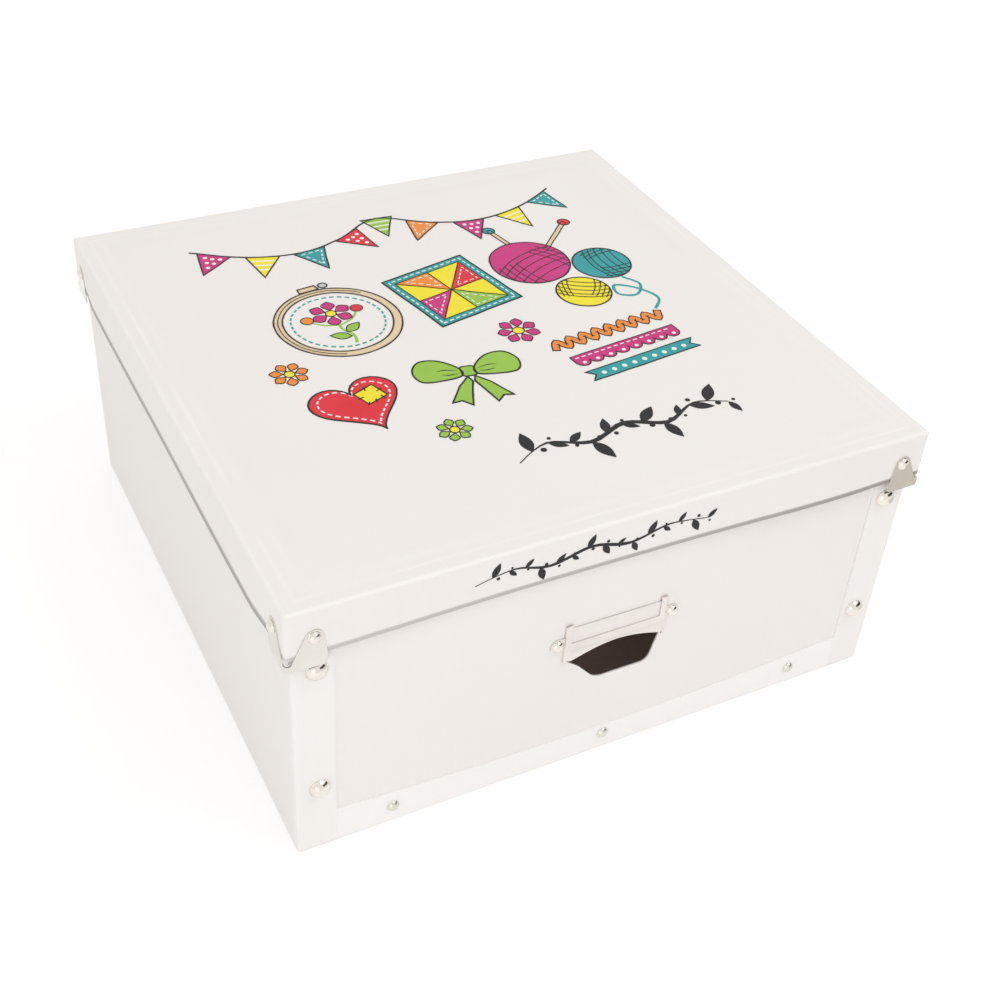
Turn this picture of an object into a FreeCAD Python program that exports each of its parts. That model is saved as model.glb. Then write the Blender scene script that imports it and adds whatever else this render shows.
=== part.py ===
"""Flat-pack storage box for sewing things, in folded plastic sheet with metal fittings.

The frame has its origin at the middle of the underside, X to the right along the front,
Y towards the back and Z up. All sizes are in millimetres.
"""
import FreeCAD
import Part
import math
import os

# Sheet and folds
sheet = 0.9
fold_radius = 1.4
seam_gap = 0.6

# Lid
lid_width = 360.0
lid_depth = 360.0
box_height = 168.0
lid_flange = 28.0
lid_tab_length = 30.0
lid_tab_inset = 3.0

# Body, set in from the lid on every side
lid_gap = 2.6
side_flap = 21.5
bottom_flap_ends = 24.0
bottom_flap_middle = 17.7
flap_hinge = 3.0
panel_side_gap = 0.3

# Press studs that close the upright corners of the body
stud_from_edge = 12.6
stud_low_z = 44.5
stud_below_rim = 14.0
cap_diameter = 11.5
cap_height = 4.2
cap_rim = 0.5
cap_foot = 0.3
post_flange_diameter = 7.4
post_flange_height = 0.6
post_diameter = 3.8
ball_diameter = 4.8
ball_height = 1.2
socket_diameter = 10.0
socket_height = 2.2
socket_lip = 0.6
socket_chamfer = 0.7
socket_bore = 5.4
backing_diameter = 11.5
backing_height = 0.4
metal_clearance = 0.1

# Small rivets with a washer under the closed end
shank_diameter = 3.2
rivet_head_diameter = 7.0
rivet_head_height = 2.5
rivet_head_rim = 0.3
tail_diameter = 5.4
tail_height = 0.6
washer_diameter = 7.5
washer_height = 0.4
base_rivet_count = 3
base_rivet_spacing = 124.5
base_rivet_z = 12.0

# Stamped corner pieces of the lid
corner_metal = 0.6
corner_length = 20.0
corner_drop = 6.8
corner_band = 4.3
corner_shoulder = 8.8
corner_notch = 2.4
corner_foot_radius = 2.0
ear_radius = 4.6
corner_rivet_from_edge = 14.0
corner_rivet_above_rim = 11.0

# Stamped pull with its card holder, its heights taken from its two rivets
pull_centre_x = -0.9
pull_metal = 0.7
pull_half_width = 30.4
pull_bar = 4.2
pull_rivet_z = 90.5
pull_above_rivets = 12.4
pull_below_rivets = 13.5
pull_bar_radius = 1.5
card_slot = 1.1
window_above_rivets = 1.0
shelf_below_rivets = 3.0
shelf_width = 6.0
lip_bulge = 1.5
lip_edge_depth = 0.9
lip_foot = 1.9
lip_end_rise = 2.1
lip_middle_rise = 7.7
pull_ear_offset = 3.6
pull_ear_radius = 4.2
pull_rivet_head = 7.0

# Finger hole under the pull
hole_inset = 1.6
hole_end_rise = 0.9
hole_depth = 20.3
hole_elbow = -19.6
hole_elbow_rise = 12.5
hole_floor_left = -8.7
hole_floor_right = 23.6
hole_left_radius = 10.0
hole_right_radius = 5.5
hole_behind_lip = 1.2

# Blank card
card_thickness = 0.4
card_side_gap = 0.3
card_face_gap = 0.2

# Values that follow from the sizes above
body_width = lid_width - 2 * (sheet + lid_gap)
body_depth = lid_depth - 2 * (sheet + lid_gap)
body_top = box_height - sheet
rim_z = box_height - lid_flange
panel_face = body_depth / 2 - sheet
stud_x = body_width / 2 - stud_from_edge
stud_high_z = rim_z - stud_below_rim
flap_edge_x = body_width / 2 - side_flap
stud_hole_diameter = post_diameter + 2 * metal_clearance
hole_diameter = shank_diameter + 2 * metal_clearance
corner_rivet_z = rim_z + corner_rivet_above_rim
pull_top_z = pull_rivet_z + pull_above_rivets
pull_bottom_z = pull_rivet_z - pull_below_rivets
pull_rivet_x = pull_half_width + pull_ear_offset
window_bottom_z = pull_rivet_z + window_above_rivets
shelf_z = pull_rivet_z - shelf_below_rivets
lip_end_z = pull_bottom_z + lip_end_rise
lip_middle_z = pull_bottom_z + lip_middle_rise
hole_end_z = pull_bottom_z + hole_end_rise
hole_floor_z = hole_end_z - hole_depth
hole_half_width = pull_half_width - hole_inset
far = lid_width + lid_depth + box_height
same_place = sheet / 100

Z_AXIS = FreeCAD.Vector(0, 0, 1)
ORIGIN = FreeCAD.Vector(0, 0, 0)


def span_box(x_range, y_range, z_range):
    """A box from its low and high value on each axis, given in either order."""
    low = [min(pair) for pair in (x_range, y_range, z_range)]
    size = [abs(pair[1] - pair[0]) for pair in (x_range, y_range, z_range)]
    return Part.makeBox(size[0], size[1], size[2], FreeCAD.Vector(*low))


def fuse_all(shapes):
    """One clean solid from shapes that touch or overlap."""
    return shapes[0].fuse(shapes[1:]).removeSplitter()


def closed_face(arcs, lines):
    """Face inside arcs of three points and straight lines of two."""
    curves = [Part.Arc(*points) for points in arcs] + [Part.LineSegment(*points) for points in lines]
    return Part.Face(Part.Wire(Part.__sortEdges__([curve.toShape() for curve in curves])))


def placed(shape, point, outward):
    """A copy of a shape made on the Z axis, moved to a point and turned to face outward."""
    copy = shape.copy()
    turn = FreeCAD.Rotation(Z_AXIS, FreeCAD.Vector(*outward))
    copy.Placement = FreeCAD.Placement(FreeCAD.Vector(*point), turn)
    return copy


def turned(points, dome=None):
    """A solid of revolution about Z from (radius, height) points, the last edge an arc if asked."""
    corners = [FreeCAD.Vector(radius, 0, height) for radius, height in points]
    edges = [Part.LineSegment(a, b).toShape() for a, b in zip(corners, corners[1:])]
    if dome:
        rim = corners[-1]
        rise = dome - rim.z
        ball = (rim.x ** 2 + rise ** 2) / (2 * rise)
        half_angle = math.asin(rim.x / ball) / 2
        middle = FreeCAD.Vector(ball * math.sin(half_angle), 0, dome - ball * (1 - math.cos(half_angle)))
        crown = FreeCAD.Vector(0, 0, dome)
        edges.append(Part.Arc(rim, middle, crown).toShape())
        corners.append(crown)
    edges.append(Part.LineSegment(corners[-1], corners[0]).toShape())
    face = Part.Face(Part.Wire(edges))
    return face.revolve(ORIGIN, Z_AXIS, 360)


def drilled(shape, point, outward, diameter):
    """The shape with a round hole through its wall at a point, the wall across the box left whole."""
    reach = 2 * (socket_height + sheet)
    drill = Part.makeCylinder(diameter / 2, 2 * reach, FreeCAD.Vector(0, 0, -reach))
    return shape.cut(placed(drill, point, outward))


def fastener_group(shape, places):
    """Copies of one fastener at each of its places."""
    return Part.makeCompound([placed(shape, point, outward) for point, outward in places])


def folded_block(width, depth, folded_z, open_z):
    """A block with rounded upright edges, and rounded edges at the height where the sheet is folded."""
    block = span_box((-width / 2, width / 2), (-depth / 2, depth / 2), (folded_z, open_z))
    edges = []
    for edge in block.Edges:
        heights = [vertex.Point.z for vertex in edge.Vertexes]
        upright = abs(heights[0] - heights[1]) > same_place
        if upright or abs(heights[0] - folded_z) < same_place:
            edges.append(edge)
    return block.makeFillet(fold_radius, edges)


def stud_places():
    """Point on the body's face and outward direction of each press stud."""
    places = []
    for facing in (-1, 1):
        for side in (-1, 1):
            for height in (stud_low_z, stud_high_z):
                places.append(((side * stud_x, facing * body_depth / 2, height), (0, facing, 0)))
    return places


def base_rivet_places():
    """Point on the bottom flap and outward direction of each small rivet of the body."""
    places = []
    first = -base_rivet_spacing * (base_rivet_count - 1) / 2
    for facing in (-1, 1):
        for number in range(base_rivet_count):
            x = first + number * base_rivet_spacing
            places.append(((x, facing * body_depth / 2, base_rivet_z), (0, facing, 0)))
    return places


def pull_rivet_places():
    """Point on the front panel and outward direction of each rivet of the pull."""
    return [((pull_centre_x + side * pull_rivet_x, -panel_face, pull_rivet_z), (0, -1, 0))
            for side in (-1, 1)]


def lid_rivet_places(on_sides):
    """Point on the lid's flange and outward direction of each corner rivet."""
    places = []
    for side in (-1, 1):
        for facing in (-1, 1):
            along_x = side * (lid_width / 2 - corner_rivet_from_edge)
            along_y = facing * (lid_depth / 2 - corner_rivet_from_edge)
            if on_sides:
                places.append(((side * lid_width / 2, along_y, corner_rivet_z), (side, 0, 0)))
            else:
                places.append(((along_x, facing * lid_depth / 2, corner_rivet_z), (0, facing, 0)))
    return places


def body_shell():
    """Base and side walls in one folded sheet, with flaps round onto the front and the back."""
    outer = folded_block(body_width, body_depth, 0, body_top)
    inner_x = body_width / 2 - sheet
    inner_y = body_depth / 2 - sheet
    shell = outer.cut(span_box((-inner_x, inner_x), (-inner_y, inner_y), (sheet, far)))
    hinge_x = body_width / 2 - flap_hinge
    for facing in (-1, 1):
        wall = (facing * inner_y, facing * far)
        shell = shell.cut(above_bottom_flap(facing))
        for side in (-1, 1):
            flap_end = side * (flap_edge_x - seam_gap)
            shell = shell.cut(span_box((flap_end, side * flap_edge_x), wall, (sheet, far)))
            slit = (sheet, sheet + seam_gap)
            shell = shell.cut(span_box((flap_end, side * hinge_x), wall, slit))
    for point, outward in stud_places():
        shell = drilled(shell, point, outward, stud_hole_diameter)
    for point, outward in base_rivet_places():
        shell = drilled(shell, point, outward, hole_diameter)
    return shell.removeSplitter()


def above_bottom_flap(facing):
    """Cutter over the bottom flap of the front or the back, whose top edge is hollowed in an arc."""
    left = FreeCAD.Vector(-flap_edge_x, 0, bottom_flap_ends)
    middle = FreeCAD.Vector(0, 0, bottom_flap_middle)
    right = FreeCAD.Vector(flap_edge_x, 0, bottom_flap_ends)
    high_right = FreeCAD.Vector(flap_edge_x, 0, far)
    high_left = FreeCAD.Vector(-flap_edge_x, 0, far)
    lines = [(right, high_right), (high_right, high_left), (high_left, left)]
    return closed_face([(left, middle, right)], lines).extrude(FreeCAD.Vector(0, facing * far, 0))


def finger_hole():
    """Cutter for the finger hole, drawn on the front panel's plane, its left slope bent at an elbow."""
    top = lip_middle_z + hole_behind_lip
    outline = [(-hole_half_width, top), (-hole_half_width, hole_end_z),
               (hole_elbow, hole_floor_z + hole_elbow_rise), (hole_floor_left, hole_floor_z),
               (hole_floor_right, hole_floor_z), (hole_half_width, hole_end_z), (hole_half_width, top)]
    points = [FreeCAD.Vector(x, -far / 2, z) for x, z in outline]
    cutter = Part.Face(Part.makePolygon(points + points[:1])).extrude(FreeCAD.Vector(0, far / 2, 0))
    for corner_x, radius in ((hole_floor_left, hole_left_radius), (hole_floor_right, hole_right_radius)):
        edges = [edge for edge in cutter.Edges if is_run_at(edge, corner_x, hole_floor_z)]
        cutter = cutter.makeFillet(radius, edges)
    return beside_middle(cutter)


def beside_middle(shape):
    """A copy of a shape drawn about the middle of the front, moved to where the pull sits."""
    return shape.translated(FreeCAD.Vector(pull_centre_x, 0, 0))


def is_run_at(edge, x, z):
    """Whether an edge runs along Y at the given x and z."""
    return all(abs(v.Point.x - x) < same_place and abs(v.Point.z - z) < same_place
               for v in edge.Vertexes)


def panel(facing):
    """Front or back panel, standing on the base inside the flaps."""
    half = body_width / 2 - sheet - panel_side_gap
    thickness = (facing * (panel_face - sheet), facing * panel_face)
    plate = span_box((-half, half), thickness, (sheet, body_top))
    for point, outward in stud_places():
        if outward[1] == facing:
            plate = drilled(plate, point, outward, stud_hole_diameter)
    for point, outward in base_rivet_places():
        if outward[1] == facing:
            plate = drilled(plate, point, outward, hole_diameter)
    return plate


def front_panel():
    """Front panel with the finger hole and the two holes that the pull is riveted through."""
    plate = panel(-1).cut(finger_hole())
    for point, outward in pull_rivet_places():
        plate = drilled(plate, point, outward, hole_diameter)
    return plate


def stud_caps():
    """Domed caps on the outside, each hollowed for the flange of its post."""
    radius = cap_diameter / 2
    recess = post_flange_diameter / 2 + metal_clearance
    depth = post_flange_height + metal_clearance
    profile = [(0, depth), (recess, depth), (recess, 0), (radius, 0), (radius, cap_rim),
               (radius - cap_foot, cap_rim)]
    return fastener_group(turned(profile, dome=cap_height), stud_places())


def stud_posts():
    """Posts that hold the caps, each with a ball that snaps into its socket."""
    stem = post_diameter / 2
    ball = ball_diameter / 2
    seat = -(2 * sheet + backing_height + socket_lip + metal_clearance)
    flange = post_flange_diameter / 2
    chamfer = ball - stem
    profile = [(0, seat - ball_height), (stem, seat - ball_height), (ball, seat - ball_height + chamfer),
               (ball, seat - chamfer), (stem, seat), (stem, 0), (flange, 0),
               (flange, post_flange_height), (0, post_flange_height)]
    return fastener_group(turned(profile), stud_places())


def stud_sockets():
    """Sockets on the inside of the panels, each with a lip that the ball snaps past."""
    seat = -(2 * sheet + backing_height)
    entry = stud_hole_diameter / 2
    bore = socket_bore / 2
    outside = socket_diameter / 2
    back = seat - socket_height
    profile = [(bore, back), (outside - socket_chamfer, back), (outside, back + socket_chamfer), (outside, seat),
               (entry, seat), (entry, seat - socket_lip), (bore, seat - socket_lip)]
    return fastener_group(turned(profile), stud_places())


def stud_backings():
    """Thin rings between the panels and the sockets."""
    face = -2 * sheet
    bore = stud_hole_diameter / 2
    outside = backing_diameter / 2
    profile = [(bore, face - backing_height), (outside, face - backing_height), (outside, face), (bore, face)]
    return fastener_group(turned(profile), stud_places())


def rivet(head_diameter, over, through):
    """Rivet whose head stands on an outer piece and whose tail closes on the inside."""
    shank = shank_diameter / 2
    head = head_diameter / 2
    tail = tail_diameter / 2
    closed = -(through + washer_height)
    profile = [(0, closed - tail_height), (tail - rivet_head_rim, closed - tail_height),
               (tail, closed - tail_height + rivet_head_rim), (tail, closed), (shank, closed),
               (shank, over), (head, over), (head, over + rivet_head_rim)]
    return turned(profile, dome=over + rivet_head_height)


def washer(through):
    """Washer on the inside of a riveted stack."""
    bore = shank_diameter / 2 + metal_clearance
    outside = washer_diameter / 2
    inner = -(through + washer_height)
    return turned([(bore, inner), (outside, inner), (outside, -through), (bore, -through)])


def lid_sheet():
    """Lid folded from one sheet: top, four flanges, and corner tabs inside the left and right flanges."""
    outer = folded_block(lid_width, lid_depth, box_height, rim_z)
    inner_x = lid_width / 2 - sheet
    inner_y = lid_depth / 2 - sheet
    shell = outer.cut(span_box((-inner_x, inner_x), (-inner_y, inner_y), (-far, body_top)))
    tabs = []
    for side in (-1, 1):
        for facing in (-1, 1):
            tab_y = (facing * (inner_y + sheet / 2), facing * (inner_y - lid_tab_length))
            tab_x = (side * (inner_x - sheet), side * inner_x)
            tabs.append(span_box(tab_x, tab_y, (rim_z + lid_tab_inset, body_top - lid_tab_inset)))
    shell = fuse_all([shell] + tabs)
    for on_sides in (True, False):
        for point, outward in lid_rivet_places(on_sides):
            shell = drilled(shell, point, outward, hole_diameter)
    return shell


def tangent_point(centre, radius, start, side):
    """Point where a line from start touches a circle, on its left (+1) or its right (-1)."""
    away = (start[0] - centre[0], start[1] - centre[1])
    angle = math.atan2(away[1], away[0]) + side * math.acos(radius / math.hypot(*away))
    return (centre[0] + radius * math.cos(angle), centre[1] + radius * math.sin(angle))


def corner_outline(on_side):
    """Leg of the front left corner piece on the lid's side or its front: a low band that rises to an ear."""
    bottom = rim_z - corner_drop
    band = bottom + corner_band
    ear = (corner_rivet_from_edge, corner_rivet_z)
    shoulder = (corner_length, bottom + corner_shoulder)
    notch = (corner_notch, band)
    inboard = tangent_point(ear, ear_radius, shoulder, 1)
    outboard = tangent_point(ear, ear_radius, notch, -1)
    crown = (ear[0], ear[1] + ear_radius)
    foot = corner_foot_radius
    foot_low = (corner_length - foot, bottom)
    foot_mid = (corner_length - foot * (1 - math.sqrt(0.5)), bottom + foot * (1 - math.sqrt(0.5)))
    foot_high = (corner_length, bottom + foot)
    beyond = -2 * corner_metal

    def at(place):
        along, z = place
        if on_side:
            return FreeCAD.Vector(-lid_width / 2 + beyond, -lid_depth / 2 + along, z)
        return FreeCAD.Vector(-lid_width / 2 + along, -lid_depth / 2 + beyond, z)

    lines = [((beyond, bottom), foot_low), (foot_high, shoulder), (shoulder, inboard),
             (outboard, notch), (notch, (beyond, band)), ((beyond, band), (beyond, bottom))]
    arcs = [(foot_low, foot_mid, foot_high), (inboard, crown, outboard)]
    return closed_face([[at(place) for place in arc] for arc in arcs], [[at(a), at(b)] for a, b in lines])


def lid_corner(side, facing):
    """Stamped metal piece bent round one upright corner of the lid."""
    half_x = lid_width / 2
    half_y = lid_depth / 2
    low = rim_z - corner_drop
    high = corner_rivet_z + ear_radius
    outer = span_box((-half_x - corner_metal, 0), (-half_y - corner_metal, 0), (low, high))
    inner = span_box((-half_x, far), (-half_y, far), (low - corner_drop, far))
    bend = (
        (outer, -half_x - corner_metal, -half_y - corner_metal, fold_radius - metal_clearance + corner_metal),
        (inner, -half_x, -half_y, fold_radius - metal_clearance),
    )
    rounded = []
    for block, x, y, radius in bend:
        edges = [edge for edge in block.Edges
                 if all(abs(v.Point.x - x) + abs(v.Point.y - y) < same_place for v in edge.Vertexes)]
        rounded.append(block.makeFillet(radius, edges))
    skin = rounded[0].cut(rounded[1])
    depth = 2 * fold_radius + corner_metal
    front_leg = skin.common(corner_outline(False).extrude(FreeCAD.Vector(0, depth, 0)))
    side_leg = skin.common(corner_outline(True).extrude(FreeCAD.Vector(depth, 0, 0)))
    piece = fuse_all([front_leg, side_leg])
    front_hole = (-half_x + corner_rivet_from_edge, -half_y, corner_rivet_z)
    side_hole = (-half_x, -half_y + corner_rivet_from_edge, corner_rivet_z)
    piece = drilled(piece, front_hole, (0, -1, 0), hole_diameter)
    piece = drilled(piece, side_hole, (-1, 0, 0), hole_diameter)
    if side > 0:
        piece = piece.mirror(ORIGIN, FreeCAD.Vector(1, 0, 0))
    if facing > 0:
        piece = piece.mirror(ORIGIN, FreeCAD.Vector(0, 1, 0))
    return piece


def pull_box(x_range, depth_range, z_range):
    """A box on the front panel, its depth measured outward from the panel's face."""
    y_range = tuple(-(panel_face + depth) for depth in depth_range)
    return span_box(x_range, y_range, z_range)


def pull_ear(side):
    """Flat ear beside the pull that its rivet goes through."""
    centre = FreeCAD.Vector(side * pull_rivet_x, -panel_face - pull_metal, pull_rivet_z)
    disc = Part.makeCylinder(pull_ear_radius, pull_metal, centre, FreeCAD.Vector(0, 1, 0))
    inner = side * (pull_half_width - pull_metal)
    neck = pull_box((inner, side * pull_rivet_x), (0, pull_metal),
                    (pull_rivet_z - pull_ear_radius, pull_rivet_z + pull_ear_radius))
    keep = pull_box((inner, side * far), (0, pull_metal), (0, far))
    return disc.fuse(neck).common(keep)


def pull_bar_piece(side):
    """Raised channel at one side of the card, with its outer wall and the shelf under the card."""
    outside = side * pull_half_width
    inside = side * (pull_half_width - pull_bar)
    face = pull_box((inside, outside), (card_slot, card_slot + pull_metal),
                    (window_bottom_z - pull_metal, pull_top_z))
    wall = pull_box((side * (pull_half_width - pull_metal), outside), (0, card_slot + pull_metal),
                    (shelf_z - pull_metal, pull_top_z))
    bar = fuse_all([face, wall])
    bar = bar.makeFillet(pull_bar_radius, [edge for edge in bar.Edges if is_bar_corner(edge, outside)])
    shelf = pull_box((side * (pull_half_width - shelf_width), side * (pull_half_width - pull_metal / 2)),
                     (0, card_slot + pull_metal / 2), (shelf_z - pull_metal, shelf_z))
    return [bar, shelf]


def is_bar_corner(edge, x):
    """Whether an edge runs along Y at the outer top corner of a side bar."""
    points = [vertex.Point for vertex in edge.Vertexes]
    along_y = abs(points[0].y - points[-1].y) > same_place
    at_side = all(abs(point.x - x) < same_place for point in points)
    at_top = all(abs(point.z - pull_top_z) < same_place for point in points)
    return along_y and at_side and at_top


def lip_profile(inward):
    """Three points of the lip's arc seen from the side, drawn at a distance in from its outer skin."""
    skin = card_slot + pull_metal - inward
    middle_z = (window_bottom_z + pull_bottom_z) / 2
    places = [(skin, window_bottom_z), (skin + lip_bulge, middle_z), (skin + lip_edge_depth, pull_bottom_z)]
    return [lip_point(*place) for place in places]


def lip_point(depth, z):
    """A point at the left end of the lip, its depth measured outward from the panel's face."""
    return FreeCAD.Vector(-pull_half_width, -(panel_face + depth), z)


def pull_lip():
    """Bulging lip between the side bars, its lower edge arched up over the finger hole, and its cheeks."""
    outer = lip_profile(0)
    inner = lip_profile(pull_metal)
    band = closed_face([outer, inner], [(outer[0], inner[0]), (outer[2], inner[2])])
    lip = band.extrude(FreeCAD.Vector(2 * pull_half_width, 0, 0)).cut(lip_arch())
    top = lip_point(0, window_bottom_z)
    bottom = lip_point(0, pull_bottom_z)
    side = closed_face([outer], [(outer[2], bottom), (bottom, top), (top, outer[0])])
    left_cheek = side.extrude(FreeCAD.Vector(pull_metal, 0, 0))
    return [lip, left_cheek, left_cheek.mirror(ORIGIN, FreeCAD.Vector(1, 0, 0))]


def lip_arch():
    """Cutter under the lip's arched lower edge."""
    inner = pull_half_width - lip_foot
    lower = pull_bottom_z - lip_foot
    left, crown, right = [FreeCAD.Vector(x, -far / 2, z)
                          for x, z in ((-inner, lip_end_z), (0, lip_middle_z), (inner, lip_end_z))]
    low_left = FreeCAD.Vector(-inner, -far / 2, lower)
    low_right = FreeCAD.Vector(inner, -far / 2, lower)
    arch = closed_face([(left, crown, right)], [(right, low_right), (low_right, low_left), (low_left, left)])
    return arch.extrude(FreeCAD.Vector(0, far, 0))


def pull_plate():
    """Stamped pull: two ears, two side bars with a shelf each, and the finger lip."""
    pieces = []
    for side in (-1, 1):
        pieces.append(pull_ear(side))
        pieces.extend(pull_bar_piece(side))
    pieces.extend(pull_lip())
    plate = beside_middle(fuse_all(pieces))
    for point, outward in pull_rivet_places():
        plate = drilled(plate, point, outward, hole_diameter)
    return plate


def label_card():
    """Blank card that stands on the shelves and slides up out of the holder."""
    half = pull_half_width - pull_metal - card_side_gap
    depth = (card_face_gap, card_face_gap + card_thickness)
    return beside_middle(pull_box((-half, half), depth, (shelf_z, pull_top_z)))


def build_nodes():
    """Every node's name and shape."""
    sides = {"left": -1, "right": 1}
    facings = {"front": -1, "back": 1}
    nodes = {
        "body_shell": body_shell(),
        "front_panel": front_panel(),
        "back_panel": panel(1),
        "press_stud_caps": stud_caps(),
        "press_stud_posts": stud_posts(),
        "press_stud_sockets": stud_sockets(),
        "press_stud_backings": stud_backings(),
        "lid_sheet": lid_sheet(),
        "pull_plate": pull_plate(),
        "label_card": label_card(),
    }
    for facing_name, facing in facings.items():
        places = [place for place in base_rivet_places() if place[1][1] == facing]
        name = "base_rivets_" + facing_name
        nodes[name] = fastener_group(rivet(rivet_head_diameter, 0, 2 * sheet), places)
        for side_name, side in sides.items():
            nodes["lid_corner_" + facing_name + "_" + side_name] = lid_corner(side, facing)
    nodes["base_rivet_washers"] = fastener_group(washer(2 * sheet), base_rivet_places())
    nodes["pull_rivets"] = fastener_group(rivet(pull_rivet_head, pull_metal, sheet), pull_rivet_places())
    nodes["pull_rivet_washers"] = fastener_group(washer(sheet), pull_rivet_places())
    nodes["lid_rivets_sides"] = fastener_group(
        rivet(rivet_head_diameter, corner_metal, 2 * sheet), lid_rivet_places(True))
    nodes["lid_rivets_front_back"] = fastener_group(
        rivet(rivet_head_diameter, corner_metal, sheet), lid_rivet_places(False))
    nodes["lid_rivet_washers_sides"] = fastener_group(washer(2 * sheet), lid_rivet_places(True))
    nodes["lid_rivet_washers_front_back"] = fastener_group(washer(sheet), lid_rivet_places(False))
    return nodes


def main():
    """Write one file per node into the parts folder."""
    os.makedirs("parts", exist_ok=True)
    for name, shape in build_nodes().items():
        shape.exportStep(os.path.join("parts", name + ".step"))


main()
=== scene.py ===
"""Looks of a folded white plastic sewing box with metal fittings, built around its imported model.

Every length is in metres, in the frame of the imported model: X to the right along the front,
Y from the front to the back and Z up, with the origin in the middle of the underside.
"""

import logging
import math
from collections import Counter
from dataclasses import dataclass, field
from enum import Enum
from typing import Callable, Iterable, Optional, Sequence

import bmesh
import bpy
from mathutils import Matrix, Vector, noise
from mathutils.geometry import delaunay_2d_cdt


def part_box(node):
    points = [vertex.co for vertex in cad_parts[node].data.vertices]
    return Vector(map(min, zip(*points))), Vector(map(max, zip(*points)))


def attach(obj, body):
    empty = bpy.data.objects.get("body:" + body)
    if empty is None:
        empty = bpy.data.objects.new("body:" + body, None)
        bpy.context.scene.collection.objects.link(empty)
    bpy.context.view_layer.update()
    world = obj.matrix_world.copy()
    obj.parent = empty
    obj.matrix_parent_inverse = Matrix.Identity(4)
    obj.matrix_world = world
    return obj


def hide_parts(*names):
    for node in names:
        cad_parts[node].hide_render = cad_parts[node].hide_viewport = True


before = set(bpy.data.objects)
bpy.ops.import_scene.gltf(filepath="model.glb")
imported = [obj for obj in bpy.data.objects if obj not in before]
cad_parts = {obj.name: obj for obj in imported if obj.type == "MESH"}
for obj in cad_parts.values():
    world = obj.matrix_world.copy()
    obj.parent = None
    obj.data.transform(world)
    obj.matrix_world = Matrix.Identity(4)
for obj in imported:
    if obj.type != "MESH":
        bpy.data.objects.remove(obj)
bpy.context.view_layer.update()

log = logging.getLogger("sewing_box")

# Sizes that several pieces share
MM = 0.001
SHEET = 0.9 * MM
FOLD = 1.4 * MM
SIDE_FLAP = 21.5 * MM
FLAP_ENDS = 24 * MM
FLAP_MIDDLE = 17.7 * MM
SEAM = 0.06 * MM
TAB_LENGTH = 30 * MM
TAB_INSET = 3 * MM
CREASES = (8 * MM, 14.5 * MM)
CAP_RADIUS = 5.75 * MM

Flat = tuple[float, float]
Corner = tuple[float, float, float]
Colour = tuple[float, float, float]
Placed = tuple[Vector, Vector]
Surface = Callable[[float, float], Placed]
Socket = bpy.types.NodeSocket


class Body(Enum):
    """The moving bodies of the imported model."""

    BOX = "box"
    LID = "lid"
    LABEL = "label"


class Slot(Enum):
    """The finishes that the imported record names."""

    BODY = "body_plastic"
    PANEL = "panel_plastic"
    LID = "lid_plastic"
    NICKEL = "nickel_metal"
    CORNER = "corner_metal"
    PULL = "pull_metal"
    CARD = "card"


class Ink(Enum):
    """The printed inks in their order on the sheet, each with the colour that it shows on a screen."""

    WOOD = (232, 207, 168)
    GREY = (206, 204, 201)
    YELLOW = (249, 231, 34)
    LIME = (150, 198, 66)
    ORANGE = (243, 139, 46)
    TEAL = (34, 156, 160)
    MAGENTA = (204, 38, 122)
    RED = (226, 36, 50)
    CHALK = (247, 245, 240)
    BLACK = (18, 16, 17)


def linear(shown: Colour) -> tuple[float, float, float, float]:
    """Scene-linear colour of one that is given as a screen shows it.

    Args:
        shown: Red, green and blue from 0 to 255.

    Returns:
        Red, green and blue in scene-linear light, and an alpha of one.
    """
    parts = [value / 255 for value in shown]
    light = [part / 12.92 if part <= 0.04045 else ((part + 0.055) / 1.055) ** 2.4 for part in parts]
    return (light[0], light[1], light[2], 1.0)


def smoothstep(value: float) -> float:
    """Soft step from 0 to 1 as the value goes from 0 to 1."""
    held = min(max(value, 0.0), 1.0)
    return held * held * (3 - 2 * held)


def ripple(u: float, v: float, length: float, seed: float) -> float:
    """Smooth unevenness from about -1 to 1 over a length, the same at every run; the seed picks a pattern."""
    return noise.noise(Vector((u / length, v / length, seed)))


@dataclass(frozen=True)
class Block:
    """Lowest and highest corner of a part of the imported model."""

    low: Vector
    high: Vector

    @classmethod
    def of(cls, node: str) -> "Block":
        """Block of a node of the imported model."""
        low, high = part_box(node)
        return cls(low, high)

    def middle(self, axis: int) -> float:
        """Middle of the block on an axis."""
        return (self.low[axis] + self.high[axis]) / 2

    def inner(self, axis: int, margin: float) -> tuple[float, float]:
        """Low and high value on an axis, each drawn in by a margin."""
        return self.low[axis] + margin, self.high[axis] - margin


def turned_corner(before: Flat, at: Corner, after: Flat, step: float) -> list[Flat]:
    """Arc that turns a corner of an outline.

    Args:
        before: The corner that comes before.
        at: The corner, with the radius of its turn.
        after: The corner that comes after.
        step: Largest turn between two points of the arc, in radians.

    Returns:
        Points of the arc, or the corner itself where it has no radius.
    """
    x, y, radius = at
    inward = Vector((before[0] - x, before[1] - y)).normalized()
    onward = Vector((after[0] - x, after[1] - y)).normalized()
    opening = inward.angle(onward)
    if radius <= 0 or math.pi - opening < 1e-3:
        return [(x, y)]
    reach = radius / math.tan(opening / 2)
    centre = Vector((x, y)) + (inward + onward).normalized() * (radius / math.sin(opening / 2))
    start = Vector((x, y)) + inward * reach - centre
    end = Vector((x, y)) + onward * reach - centre
    turn = math.atan2(start.x * end.y - start.y * end.x, start.dot(end))
    count = max(2, math.ceil(abs(turn) / step))
    points = []
    for number in range(count + 1):
        angle = turn * number / count
        cos, sin = math.cos(angle), math.sin(angle)
        points.append((centre.x + start.x * cos - start.y * sin, centre.y + start.x * sin + start.y * cos))
    return points


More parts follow.
